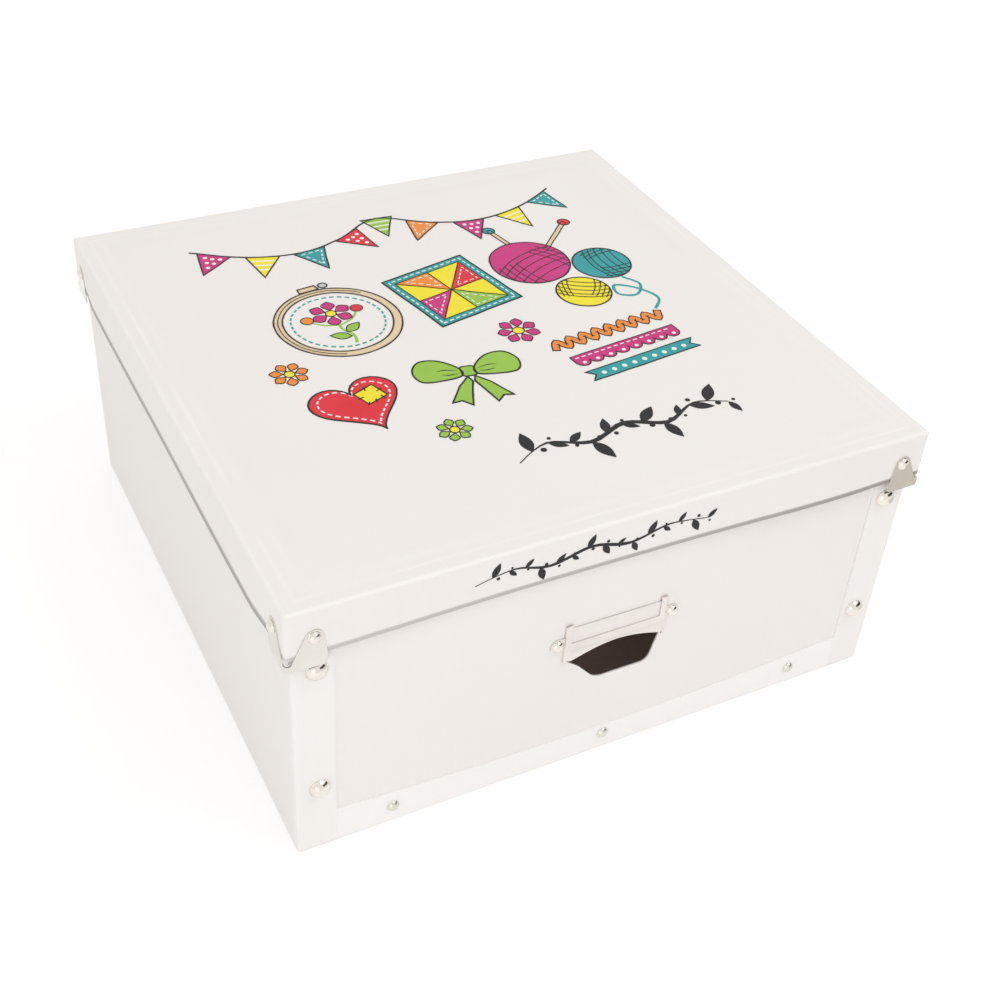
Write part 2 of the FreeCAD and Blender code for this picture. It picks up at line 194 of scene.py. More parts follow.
def rounded(corners: Sequence[Corner], closed: bool = True, step: float = math.radians(12)) -> list[Flat]:
    """Outline through corners, each turned on an arc of its own radius.

    Args:
        corners: Place and radius of each corner.
        closed: Whether the outline comes back to its start.
        step: Largest turn between two points of an arc, in radians.

    Returns:
        Points of the outline.
    """
    points: list[Flat] = []
    last = len(corners) - 1
    for number, corner in enumerate(corners):
        if not closed and number in (0, last):
            points.append(corner[:2])
            continue
        before = corners[number - 1][:2]
        after = corners[(number + 1) % len(corners)][:2]
        points.extend(turned_corner(before, corner, after, step))
    return points


def arc(centre: Flat, radius: float, start: float, end: float, count: int) -> list[Flat]:
    """Points along an arc, its angles in degrees."""
    angles = [math.radians(start + (end - start) * number / count) for number in range(count + 1)]
    return [(centre[0] + radius * math.cos(a), centre[1] + radius * math.sin(a)) for a in angles]


def is_inside(point: Flat, loops: Iterable[Sequence[Flat]]) -> bool:
    """Whether a point is inside an outline and outside its holes.

    Args:
        point: The point.
        loops: The outline and the holes.

    Returns:
        Whether the sheet that they cut holds the point.
    """
    crossings = 0
    for loop in loops:
        for (x0, y0), (x1, y1) in zip(loop, [*loop[1:], loop[0]]):
            if (y0 > point[1]) != (y1 > point[1]):
                crossings += point[0] < x0 + (point[1] - y0) * (x1 - x0) / (y1 - y0)
    return crossings % 2 == 1


def distance_to(point: Flat, loops: Iterable[Sequence[Flat]]) -> float:
    """Distance from a point to the nearest edge.

    Args:
        point: The point.
        loops: Closed lines.

    Returns:
        The distance to the nearest of their runs.
    """
    least = math.inf
    for loop in loops:
        for (x0, y0), (x1, y1) in zip(loop, [*loop[1:], loop[0]]):
            run_x, run_y = x1 - x0, y1 - y0
            length = run_x * run_x + run_y * run_y
            share = 0.0
            if length > 0:
                share = min(max(((point[0] - x0) * run_x + (point[1] - y0) * run_y) / length, 0.0), 1.0)
            least = min(least, math.hypot(point[0] - x0 - share * run_x, point[1] - y0 - share * run_y))
    return least


def lines_between(low: float, high: float, pitch: float, fixed: Iterable[float] = ()) -> list[float]:
    """Evenly spaced values that also pass through fixed ones.

    Args:
        low: First value.
        high: Last value.
        pitch: Distance between them, as near as the fixed ones allow.
        fixed: Values to pass through, where they lie in between.

    Returns:
        The values, in rising order.
    """
    stops = sorted({low, high, *[value for value in fixed if low < value < high]})
    lines = [low]
    for start, end in zip(stops, stops[1:]):
        count = max(1, round((end - start) / pitch))
        lines.extend(start + (end - start) * number / count for number in range(1, count + 1))
    return lines


def spaced(loop: Sequence[Flat], longest: float, closed: bool = True) -> list[Flat]:
    """A line with points added, so that no run is longer than a distance.

    Args:
        loop: Points of the line.
        longest: That distance.
        closed: Whether the line comes back to its start.

    Returns:
        The old points and the added ones.
    """
    ends = [*loop[1:], loop[0]] if closed else loop[1:]
    points = [] if closed else [loop[0]]
    for (x0, y0), (x1, y1) in zip(loop, ends):
        count = max(1, math.ceil(math.hypot(x1 - x0, y1 - y0) / longest - 1e-6))
        steps = range(count) if closed else range(1, count + 1)
        points.extend((x0 + (x1 - x0) * n / count, y0 + (y1 - y0) * n / count) for n in steps)
    return points


@dataclass
class Skin:
    """Points and faces of a mesh while it is made; each face has the place of its finish in the list."""

    points: list[Vector] = field(default_factory=list)
    faces: list[tuple[int, ...]] = field(default_factory=list)
    finishes: list[int] = field(default_factory=list)

    def add(self, points: Iterable[Vector], faces: Iterable[Sequence[int]]) -> None:
        """Adds points and faces in the first finish.

        Args:
            points: The points.
            faces: Numbers of the corners of each face, counted from the first of these points.
        """
        first = len(self.points)
        self.points.extend(points)
        for face in faces:
            self.faces.append(tuple(first + number for number in face))
            self.finishes.append(0)

    def add_sheet(self, outer: Sequence[Vector], normals: Sequence[Vector], faces: Sequence[Sequence[int]],
                  thickness: float, cut_finish: int = 0) -> None:
        """Adds a closed sheet that lies behind an outer surface.

        Args:
            outer: Points of the outer surface.
            normals: Outward direction at each point.
            faces: Faces of the outer surface, seen from outside.
            thickness: Thickness of the sheet.
            cut_finish: Place of the finish of its cut edges.
        """
        count = len(outer)
        inner = [point - normal * thickness for point, normal in zip(outer, normals)]
        runs = Counter((face[i - 1], face[i]) for face in faces for i in range(len(face)))
        edges = [(a, b) for a, b in runs if (b, a) not in runs]
        first = len(self.points)
        self.add([*outer, *inner], [*faces, *[[count + i for i in reversed(face)] for face in faces]])
        for a, b in edges:
            self.faces.append((first + b, first + a, first + count + a, first + count + b))
            self.finishes.append(cut_finish)


@dataclass(frozen=True)
class Blank:
    """A flat blank cut from sheet, with the grid that lets it bend."""

    outline: Sequence[Flat]
    holes: Sequence[Sequence[Flat]] = ()
    pitch: float = 8 * MM
    columns: tuple[float, ...] = ()

    def triangles(self) -> tuple[list[Flat], list[tuple[int, ...]]]:
        """Cuts the blank into triangles.

        Returns:
            Their points, and the three point numbers of each, seen from the front.
        """
        loops = [self.outline, *self.holes]
        points: list[Flat] = []
        edges: list[tuple[int, int]] = []
        for loop in loops:
            first = len(points)
            points.extend(loop)
            edges.extend((first + i, first + (i + 1) % len(loop)) for i in range(len(loop)))
        points.extend(self.grid(loops))
        found = delaunay_2d_cdt([Vector(point) for point in points], edges, [], 0, 1e-8)
        flat = [(point.x, point.y) for point in found[0]]
        kept = []
        for face in found[2]:
            middle = (sum(flat[i][0] for i in face) / 3, sum(flat[i][1] for i in face) / 3)
            if is_inside(middle, loops):
                kept.append(tuple(face))
        return flat, kept

    def grid(self, loops: Sequence[Sequence[Flat]]) -> list[Flat]:
        """Points of a grid inside the blank, clear of its edges.

        Args:
            loops: Outline and holes of the blank.

        Returns:
            The points.
        """
        xs = [point[0] for point in self.outline]
        ys = [point[1] for point in self.outline]
        columns = lines_between(min(xs), max(xs), self.pitch, self.columns)[1:-1]
        rows = lines_between(min(ys), max(ys), self.pitch)[1:-1]
        clear = self.pitch * (0.1 if self.columns else 0.35)
        return [(x, y) for x in columns for y in rows
                if is_inside((x, y), loops) and distance_to((x, y), loops) > clear]

    def lay(self, skin: Skin, surface: Surface, thickness: float, cut_finish: int = 0) -> None:
        """Adds the blank to a skin, laid on a surface.

        Args:
            skin: What the blank is added to.
            surface: Gives the point and the outward direction at a place of the blank.
            thickness: Thickness of the sheet behind that surface.
            cut_finish: Place of the finish of its cut edges.
        """
        flat, faces = self.triangles()
        placed = [surface(u, v) for u, v in flat]
        skin.add_sheet([point for point, _ in placed], [normal for _, normal in placed], faces,
                       thickness, cut_finish)


@dataclass(frozen=True)
class Tray:
    """Open tray folded from one sheet: a flat face, four walls, and rounded folds between them."""

    half_x: float
    half_y: float
    flat_z: float
    rim_z: float
    fold: float
    thickness: float
    x_lines: Sequence[float]
    y_lines: Sequence[float]
    z_lines: Sequence[float]
    steps: int = 6

    def round_path(self) -> list[Placed]:
        """Plan of the outer walls, anticlockwise from the front.

        Returns:
            Points and outward directions.
        """
        path: list[Placed] = []
        reach_x, reach_y = self.half_x - self.fold, self.half_y - self.fold
        sides = (
            (Vector((0, -1, 0)), [Vector((x, -self.half_y, 0)) for x in self.x_lines], (reach_x, -reach_y)),
            (Vector((1, 0, 0)), [Vector((self.half_x, y, 0)) for y in self.y_lines], (reach_x, reach_y)),
            (Vector((0, 1, 0)), [Vector((x, self.half_y, 0)) for x in reversed(self.x_lines)],
             (-reach_x, reach_y)),
            (Vector((-1, 0, 0)), [Vector((-self.half_x, y, 0)) for y in reversed(self.y_lines)],
             (-reach_x, -reach_y)),
        )
        for outward, points, centre in sides:
            path.extend((point, outward) for point in points)
            for number in range(1, self.steps):
                turn = Matrix.Rotation(math.radians(90) * number / self.steps, 3, "Z")
                normal = turn @ outward
                path.append((Vector((*centre, 0)) + normal * self.fold, normal))
        return path

    def rows(self) -> list[tuple[float, float, float, float]]:
        """Rows of the walls and the folds, from the rim to the flat face.

        Returns:
            Inset and height of each row, and the outward and downward share of its normal.
        """
        up = math.copysign(1.0, self.rim_z - self.flat_z)
        rows = [(0.0, z, 1.0, 0.0) for z in sorted(self.z_lines, reverse=up > 0)]
        for number in range(1, self.steps + 1):
            angle = math.radians(90) * number / self.steps
            cos, sin = math.cos(angle), math.sin(angle)
            rows.append((self.fold * (1 - cos), self.flat_z + up * self.fold * (1 - sin), cos, -up * sin))
        return rows

    def build(self, skin: Skin, is_cut: Callable[[Vector], bool], shift: Callable[[Vector, Vector], float],
              cut_finish: int, trim: Callable[[Vector], Vector] = Vector) -> None:
        """Adds the folded sheet to a skin.

        Args:
            skin: What the tray is added to.
            is_cut: Whether the sheet is cut away at a place.
            shift: How far the sheet stands out from its even shape at a place, given the normal there.
            cut_finish: Place of the finish of its cut edges.
            trim: Where a place goes when its edge is trimmed to shape.
        """
        numbers: dict[tuple[int, ...], int] = {}
        points: list[Vector] = []
        normals: list[Vector] = []

        def number_of(point: Vector, normal: Vector) -> int:
            """Number of a point, which is added where it is new.

            Args:
                point: The point.
                normal: Outward direction there.

            Returns:
                The number.
            """
            key = tuple(round(value / (0.001 * MM)) for value in point)
            if key not in numbers:
                numbers[key] = len(points)
                points.append(point)
                normals.append(normal)
            return numbers[key]

        path = self.round_path()
        up = math.copysign(1.0, self.rim_z - self.flat_z)
        table = []
        for inset, z, across, down in self.rows():
            table.append([number_of(plan - outward * inset + Vector((0, 0, z)),
                                    (outward * across + Vector((0, 0, down))).normalized())
                          for plan, outward in path])
        faces = []
        for upper, lower in zip(table, table[1:]):
            for i in range(len(path)):
                j = (i + 1) % len(path)
                ring = [lower[i], lower[j], upper[j], upper[i]]
                faces.append(ring if up > 0 else ring[::-1])
        base_normal = Vector((0, 0, -up))
        for x0, x1 in zip(self.x_lines, self.x_lines[1:]):
            for y0, y1 in zip(self.y_lines, self.y_lines[1:]):
                corners = [(x0, y0), (x1, y0), (x1, y1), (x0, y1)]
                ring = [number_of(Vector((x, y, self.flat_z)), base_normal) for x, y in corners]
                faces.append(ring if up < 0 else ring[::-1])
        clean = [list(dict.fromkeys(face)) for face in faces]
        kept = [face for face in clean
                if len(face) > 2 and not is_cut(sum((points[i] for i in face), Vector()) / len(face))]
        used = sorted({number for face in kept for number in face})
        again = {old: new for new, old in enumerate(used)}
        moved = [trim(points[i]) + normals[i] * shift(points[i], normals[i]) for i in used]
        skin.add_sheet(moved, [normals[i] for i in used], [[again[i] for i in face] for face in kept],
                       self.thickness, cut_finish)


@dataclass(frozen=True)
class Turning:
    """A domed part turned about its own axis: corners (radius, height, turn) and the height of its crown."""

    corners: Sequence[Corner]
    crown: float
    sides: int = 48
    dome_steps: int = 10
    turn_step: float = math.radians(22.5)

    def profile(self) -> list[Flat]:
        """Profile from the axis at the back, out and up to the crown.

        Returns:
            Radius and height of its points.
        """
        points = rounded(self.corners, closed=False, step=self.turn_step)
        radius, low = points[-1]
        rise = self.crown - low
        ball = (radius * radius + rise * rise) / (2 * rise)
        spread = math.asin(radius / ball)
        for number in range(1, self.dome_steps + 1):
            angle = spread * (1 - number / self.dome_steps)
            points.append((ball * math.sin(angle), self.crown - ball * (1 - math.cos(angle))))
        return points

    def add_to(self, skin: Skin, place: Matrix) -> None:
        """Adds one copy of the part.

        Args:
            skin: What it is added to.
            place: Its placement.
        """
        points: list[Vector] = []
        rings: list[list[int]] = []
        for radius, height in self.profile():
            if radius < 0.001 * MM:
                rings.append([len(points)] * self.sides)
                points.append(place @ Vector((0, 0, height)))
                continue
            rings.append(list(range(len(points), len(points) + self.sides)))
            for number in range(self.sides):
                angle = 2 * math.pi * number / self.sides
                points.append(place @ Vector((radius * math.cos(angle), radius * math.sin(angle), height)))
        faces = []
        for lower, upper in zip(rings, rings[1:]):
            for i in range(self.sides):
                j = (i + 1) % self.sides
                face = list(dict.fromkeys([lower[i], lower[j], upper[j], upper[i]]))
                if len(face) > 2:
                    faces.append(face)
        skin.add(points, faces)


def facing(point: Vector, outward: Vector) -> Matrix:
    """Placement at a point, with Z turned to face outward."""
    return Matrix.Translation(point) @ outward.to_track_quat("Z", "Y").to_matrix().to_4x4()


@dataclass(frozen=True)
class Piece:
    """One piece of the scene: its name, what it moves with, and what it stands for."""

    name: str
    body: Body
    slot: Optional[Slot] = None
    replaces: tuple[str, ...] = ()
    shaded_sharp: float = math.radians(40)
    bevelled: float = math.radians(50)

    def make(self, skin: Skin, finishes: Sequence[bpy.types.Material], bevel: float = 0.0) -> None:
        """Turns a skin into an object of the scene, which rides on its body.

        Args:
            skin: Points and faces, in place.
            finishes: Finish of each place in the skin's list.
            bevel: Width of the rounding of sharp edges, or nothing.
        """
        mesh = bpy.data.meshes.new(self.name)
        mesh.from_pydata(skin.points, [], skin.faces)
        for face, finish in zip(mesh.polygons, skin.finishes):
            face.material_index = finish
        for finish in finishes:
            mesh.materials.append(finish)
        if bevel > 0:
            self.soften(mesh, bevel)
        mesh.shade_smooth()
        mesh.set_sharp_from_angle(angle=self.shaded_sharp)
        piece = bpy.data.objects.new(self.name, mesh)
        bpy.context.scene.collection.objects.link(piece)
        weighted = piece.modifiers.new("even_shading", "WEIGHTED_NORMAL")
        weighted.keep_sharp = True
        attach(piece, self.body.value)
        if self.replaces:
            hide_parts(*self.replaces)
        log.info("%s: %d faces, rides on %s", self.name, len(mesh.polygons), self.body.value)

    def soften(self, mesh: bpy.types.Mesh, width: float) -> None:
        """Rounds the sharp edges of a mesh.

        Args:
            mesh: The mesh.
            width: Width of the rounding.
        """
        work = bmesh.new()
        work.from_mesh(mesh)
        edges = [edge for edge in work.edges
                 if len(edge.link_faces) == 2 and edge.calc_face_angle() > self.bevelled]
        bmesh.ops.bevel(work, geom=edges, offset=width, offset_type="OFFSET", segments=2, profile=0.6,
                        affect="EDGES", clamp_overlap=True, material=-1)
        work.to_mesh(mesh)
        work.free()


class Tree:
    """Adds and links the nodes of one material or one effect."""

    def __init__(self, nodes: bpy.types.NodeTree) -> None:
        """Starts with an empty tree."""
        self.nodes = nodes
        self.nodes.nodes.clear()

    def add(self, kind: str, inputs: Optional[dict] = None, **settings: object) -> bpy.types.Node:
        """Adds a node.

        Args:
            kind: Blender's name of the node type.
            inputs: Value, or socket to link from, for each input by its name or number.
            settings: Values of the node's own properties.

        Returns:
            The new node.
        """
        node = self.nodes.nodes.new(kind)
        for name, value in settings.items():
            setattr(node, name, value)
        for name, value in (inputs or {}).items():
            if isinstance(value, Socket):
                self.nodes.links.new(value, node.inputs[name])
            else:
                node.inputs[name].default_value = value
        return node

    def maths(self, operation: str, *values: object, clamp: bool = False) -> Socket:
        """Result of a calculation with one to three values."""
        node = self.add("ShaderNodeMath", dict(enumerate(values)), operation=operation, use_clamp=clamp)
        return node.outputs[0]

    def vector(self, operation: str, *values: object) -> Socket:
        """Result of a calculation with vectors."""
        return self.add("ShaderNodeVectorMath", dict(enumerate(values)), operation=operation).outputs[0]

    def mix(self, share: object, first: object, second: object) -> Socket:
        """Colour between two others.

        Args:
            share: 0 for the first colour and 1 for the second.
            first: The first colour, or the socket that gives it.
            second: The second one.

        Returns:
            The socket of the colour in between.
        """
        node = self.add("ShaderNodeMix", data_type="RGBA")
        sockets = {socket.identifier: socket for socket in node.inputs}
        for key, value in (("Factor_Float", share), ("A_Color", first), ("B_Color", second)):
            if isinstance(value, Socket):
                self.nodes.links.new(value, sockets[key])
            else:
                sockets[key].default_value = value
        return next(socket for socket in node.outputs if socket.identifier == "Result_Color")

    def span(self, value: object, low: float, high: float) -> Socket:
        """Value from 0 to 1, spread evenly from low to high."""
        return self.add("ShaderNodeMapRange", {"Value": value, "To Min": low, "To Max": high}).outputs[0]

    def place(self) -> Socket:
        """Place on the piece, in metres, which moves with the piece."""
        return self.add("ShaderNodeTexCoord").outputs["Object"]

    def spots(self, where: Socket, scale: object, detail: float) -> Socket:
        """Soft noise with a number of spots to the metre."""
        return self.add("ShaderNodeTexNoise", {"Vector": where, "Scale": scale, "Detail": detail}).outputs[0]

    def speckle(self, scale: float, detail: float = 2.0, stretch: Corner = (1, 1, 1)) -> Socket:
        """Spots over the piece, drawn out along an axis if asked."""
        return self.spots(self.vector("MULTIPLY", self.place(), stretch), scale, detail)

    def bump(self, height: Socket, depth: float, strength: float) -> Socket:
        """Normal of a surface with these heights."""
        values = {"Height": height, "Distance": depth, "Strength": strength}
        return self.add("ShaderNodeBump", values).outputs[0]


class Effect(Enum):
    """Effects that several finishes share."""

    GRAIN = "sheet_grain"
    ZONE = "zone_mask"
    FOLDS = "fold_mask"
    SCUFFS = "metal_scuffs"
    FILM = "ink_film"


class Effects:
    """Shader node groups shared by the finishes, each built once."""

    def __init__(self) -> None:
        """Builds every group."""
        self.groups: dict[Effect, bpy.types.NodeTree] = {}
        for build in (self.grain, self.zone, self.folds, self.scuffs, self.film):
            build()

    def start(self, effect: Effect, inputs: dict[str, str], outputs: Sequence[str]) -> tuple[Tree, dict]:
        """Starts the group of an effect.

        Args:
            effect: Which effect.
            inputs: Name of each input, and whether it is a Float or a Vector.
            outputs: Name of each output.

        Returns:
            The nodes of the group, and the sockets that give its inputs.
        """
        group = bpy.data.node_groups.new(effect.value, "ShaderNodeTree")
        for name, kind in inputs.items():
            group.interface.new_socket(name=name, in_out="INPUT", socket_type="NodeSocket" + kind)
        for name in outputs:
            group.interface.new_socket(name=name, in_out="OUTPUT", socket_type="NodeSocketFloat")
        self.groups[effect] = group
        tree = Tree(group)
        return tree, dict(tree.add("NodeGroupInput").outputs.items())

    def grain(self) -> None:
        """Satin grain of extruded sheet: fine pits, faint streaks and slow cloudiness."""
        tree, given = self.start(Effect.GRAIN, {"Pits": "Float", "Clouds": "Float"}, ("Tone", "Height"))
        where = tree.place()
        pits = tree.spots(where, given["Pits"], 3.0)
        clouds = tree.spots(where, given["Clouds"], 2.0)
        streaks = tree.speckle(420, stretch=(1, 1, 0.03))
        tone = tree.maths("ADD", tree.span(clouds, -0.6, 0.6), tree.span(streaks, -0.25, 0.25))
        height = tree.maths("MULTIPLY_ADD", streaks, 0.35, pits)
        tree.add("NodeGroupOutput", {"Tone": tone, "Height": height})

    def zone(self) -> None:
        """Mask of a block that is mirrored left to right and front to back, and fades at its sides."""
        tree, given = self.start(Effect.ZONE, {"Low": "Vector", "High": "Vector", "Fade": "Float"}, ("Mask",))
        where = tree.vector("ABSOLUTE", tree.place())
        above = tree.vector("SUBTRACT", where, given["Low"])
        below = tree.vector("SUBTRACT", given["High"], where)
        parts = tree.add("ShaderNodeSeparateXYZ", {0: tree.vector("MINIMUM", above, below)}).outputs
        inside = tree.maths("MINIMUM", tree.maths("MINIMUM", parts[0], parts[1]), parts[2])
        tree.add("NodeGroupOutput", {"Mask": tree.maths("DIVIDE", inside, given["Fade"], clamp=True)})

    def folds(self) -> None:
        """Mask of the folded edges of a tray, and the distance in from its nearest wall."""
        tree, given = self.start(Effect.FOLDS, {"Middle": "Vector", "Half": "Vector", "Width": "Float"},
                                 ("Mask", "Inset"))
        away = tree.vector("ABSOLUTE", tree.vector("SUBTRACT", tree.place(), given["Middle"]))
        left = tree.vector("SUBTRACT", given["Half"], away)
        parts = tree.add("ShaderNodeSeparateXYZ", {0: left}).outputs
        near = []
        for part in parts:
            share = tree.maths("DIVIDE", part, given["Width"], clamp=True)
            near.append(tree.maths("SUBTRACT", 1.0, share))
        pairs = [tree.maths("MULTIPLY", near[a], near[b]) for a, b in ((0, 1), (1, 2), (0, 2))]
        mask = tree.maths("MAXIMUM", tree.maths("MAXIMUM", pairs[0], pairs[1]), pairs[2])
        tree.add("NodeGroupOutput", {"Mask": mask, "Inset": tree.maths("MINIMUM", parts[0], parts[1])})

    def scuffs(self) -> None:
        """Handling marks on plated metal: soft smears and sparse hairline scratches."""
        tree, given = self.start(Effect.SCUFFS, {"Scale": "Float"}, ("Smear", "Height"))
        where = tree.place()
        smears = tree.spots(where, given["Scale"], 1.5)
        finer = tree.maths("MULTIPLY", given["Scale"], 14.0)
        hairs = tree.spots(tree.vector("MULTIPLY", where, (1, 1, 0.08)), finer, 1.0)
        scratch = tree.add("ShaderNodeMapRange", {"Value": hairs, "From Min": 0.6, "From Max": 0.75})
        tree.add("NodeGroupOutput", {"Smear": smears, "Height": scratch.outputs[0]})

    def film(self) -> None:
        """Uneven film of printed ink, with the mesh of the screen just showing."""
        tree, given = self.start(Effect.FILM, {"Scale": "Float"}, ("Tone", "Height"))
        where = tree.place()
        mesh = tree.add("ShaderNodeTexVoronoi", {"Vector": where, "Scale": 2600.0})
        tree.add("NodeGroupOutput", {"Tone": tree.spots(where, given["Scale"], 3.0),
                                     "Height": mesh.outputs["Distance"]})

    def use(self, tree: Tree, effect: Effect, inputs: dict) -> bpy.types.Node:
        """Places an effect in a material with its own values.

        Args:
            tree: The material's nodes.
            effect: Which effect.
            inputs: Value of each of its inputs.

        Returns:
            The node that holds the effect.
        """
        node = tree.add("ShaderNodeGroup", node_tree=self.groups[effect])
        for name, value in inputs.items():
            node.inputs[name].default_value = value
        return node


def new_finish(name: str) -> tuple[bpy.types.Material, Tree]:
    """Starts a material.

    Args:
        name: Its name.

    Returns:
        The material and its empty tree of nodes.
    """
    material = bpy.data.materials.new(name)
    material.use_nodes = True
    return material, Tree(material.node_tree)


def close_finish(tree: Tree, inputs: dict) -> None:
    """Ends a material in a Principled BSDF with these inputs."""
    shader = tree.add("ShaderNodeBsdfPrincipled", inputs)
    tree.add("ShaderNodeOutputMaterial", {"Surface": shader.outputs[0]})


@dataclass(frozen=True)
class Zone:
    """Block of a sheet with a colour of its own, or with painted shade or painted light, mirrored left to
    right and front to back.

    Its strength holds in the middle of the box, and grows to the right by the drift for each metre.
    """

    low: Corner
    high: Corner
    shade: Colour
    strength: float = 1.0
    drift: float = 0.0
    fade: float = 1.2 * MM


@dataclass(frozen=True)
class Crease:
    """Faint line beside the folds of a sheet, or a band of painted shade, broken up along its length."""

    inset: float
    half_width: float
    strength: float
    shade: Colour


@dataclass(frozen=True)
class SheetFinish:
    """White plastic sheet, a little clearer where it lies in one layer."""

    name: str
    colour: Colour
    middle: Corner
    half: Corner
    zones: tuple[Zone, ...] = ()
    creases: tuple[Crease, ...] = ()
    fold_width: float = 2.4 * MM
    worn_fold: Colour = (250, 248, 245)
    mottle: float = 0.03
    roughness: float = 0.44

    def build(self, effects: Effects) -> bpy.types.Material:
        """Builds the material.

        Args:
            effects: The shared shader groups.

        Returns:
            The material.
        """
        material, tree = new_finish(self.name)
        grain = effects.use(tree, Effect.GRAIN, {"Pits": 2400.0, "Clouds": 9.0})
        folds = effects.use(tree, Effect.FOLDS, {"Middle": self.middle, "Half": self.half,
                                                 "Width": self.fold_width})
        patches = tree.add("ShaderNodeMapRange", {"Value": tree.speckle(24), "From Min": 0.35,
                                                  "From Max": 0.65})
        across = tree.add("ShaderNodeSeparateXYZ", {0: tree.place()}).outputs[0]
        colour: object = linear(self.colour)
        # Zones give the sheet's own tones, and also painted shadows and painted light.
        for zone in self.zones:
            mask = effects.use(tree, Effect.ZONE, {"Low": zone.low, "High": zone.high, "Fade": zone.fade})
            strength = tree.maths("MULTIPLY_ADD", across, zone.drift, zone.strength, clamp=True)
            share = tree.maths("MULTIPLY", mask.outputs["Mask"], strength)
            colour = tree.mix(share, colour, linear(zone.shade))
        for crease in self.creases:
            away = tree.maths("ABSOLUTE", tree.maths("SUBTRACT", folds.outputs["Inset"], crease.inset))
            near = tree.maths("SUBTRACT", 1.0, tree.maths("DIVIDE", away, crease.half_width, clamp=True))
            broken = tree.maths("MULTIPLY", near, patches.outputs[0])
            colour = tree.mix(tree.maths("MULTIPLY", broken, crease.strength), colour, linear(crease.shade))
        rubbed = tree.maths("MULTIPLY_ADD", patches.outputs[0], 0.3, 0.3)
        worn = tree.maths("MULTIPLY", folds.outputs["Mask"], rubbed)
        colour = tree.mix(worn, colour, linear(self.worn_fold))
        tone = tree.maths("MULTIPLY_ADD", grain.outputs["Tone"], self.mottle, 1.0)
        tones = tree.add("ShaderNodeCombineXYZ", {0: tone, 1: tone, 2: tone})
        colour = tree.vector("MULTIPLY", colour, tones.outputs[0])
        rough = tree.maths("MULTIPLY_ADD", grain.outputs["Height"], 0.10, self.roughness - 0.05)
        close_finish(tree, {"Base Color": colour, "Roughness": rough, "IOR": 1.49,
                            "Normal": tree.bump(grain.outputs["Height"], 0.02 * MM, 0.5)})
        return material


@dataclass(frozen=True)
class CutEdgeFinish:
    """Cut edge of the plastic sheet, paler and duller than its faces."""

    name: str = "cut_edge"
    colour: Colour = (250, 249, 247)
    darker: Colour = (242, 240, 238)

    def build(self, effects: Effects) -> bpy.types.Material:
        """Builds the material.

        Args:
            effects: The shared shader groups.

        Returns:
            The material.
        """
        material, tree = new_finish(self.name)
        grain = effects.use(tree, Effect.GRAIN, {"Pits": 3600.0, "Clouds": 60.0})
        tone = tree.maths("MULTIPLY_ADD", grain.outputs["Tone"], 0.03, 0.5)
        colour = tree.mix(tone, linear(self.darker), linear(self.colour))
        close_finish(tree, {"Base Color": colour, "Roughness": 0.62,
                            "Normal": tree.bump(grain.outputs["Height"], 0.04 * MM, 0.6)})
        return material


@dataclass(frozen=True)
class MetalFinish:
    """Plated metal, with smears and hairline scratches from handling."""

    name: str
    colour: Colour
    dull: Colour
    roughness: float
    scale: float = 70.0

    def build(self, effects: Effects) -> bpy.types.Material:
        """Builds the material.

        Args:
            effects: The shared shader groups.

        Returns:
            The material.
        """
        material, tree = new_finish(self.name)
        scuffs = effects.use(tree, Effect.SCUFFS, {"Scale": self.scale})
        colour = tree.mix(scuffs.outputs["Smear"], linear(self.colour), linear(self.dull))
        rough = tree.span(scuffs.outputs["Smear"], self.roughness * 0.7, self.roughness * 1.4)
        close_finish(tree, {"Base Color": colour, "Metallic": 1.0, "Roughness": rough,
                            "Normal": tree.bump(scuffs.outputs["Height"], 0.006 * MM, 0.3)})
        return material


@dataclass(frozen=True)
class InkFinish:
    """Screen-printed ink on the plastic."""

    ink: Ink
    thin: float = 0.10
    thick: float = 0.96

    def build(self, effects: Effects) -> bpy.types.Material:
        """Builds the material.

        Args:
            effects: The shared shader groups.

        Returns:
            The material, paler where the film of ink is thin and deeper where it is thick.
        """
        material, tree = new_finish(self.ink.name.lower() + "_ink")
        film = effects.use(tree, Effect.FILM, {"Scale": 55.0})
        paler = tuple(value + (255 - value) * self.thin for value in self.ink.value)
        deeper = tuple(value * self.thick for value in self.ink.value)
        colour = tree.mix(film.outputs["Tone"], linear(deeper), linear(paler))
        close_finish(tree, {"Base Color": colour, "Roughness": tree.span(film.outputs["Tone"], 0.36, 0.5),
                            "Normal": tree.bump(film.outputs["Height"], 0.008 * MM, 0.3),
                            "Specular IOR Level": 0.25})
        return material


@dataclass(frozen=True)
class CardFinish:
    """Uncoated white card with short fibres."""

    name: str = "white_card"
    colour: Colour = (236, 230, 226)
    paler: Colour = (243, 239, 235)

    def build(self, effects: Effects) -> bpy.types.Material:
        """Builds the material.

        Args:
            effects: The shared shader groups.

        Returns:
            The material.
        """
        material, tree = new_finish(self.name)
        film = effects.use(tree, Effect.FILM, {"Scale": 300.0})
        fibres = tree.speckle(1600, 4.0, (0.15, 1, 1))
        colour = tree.mix(film.outputs["Tone"], linear(self.colour), linear(self.paler))
        close_finish(tree, {"Base Color": colour, "Roughness": 0.85,
                            "Normal": tree.bump(fibres, 0.02 * MM, 0.7)})
        return material


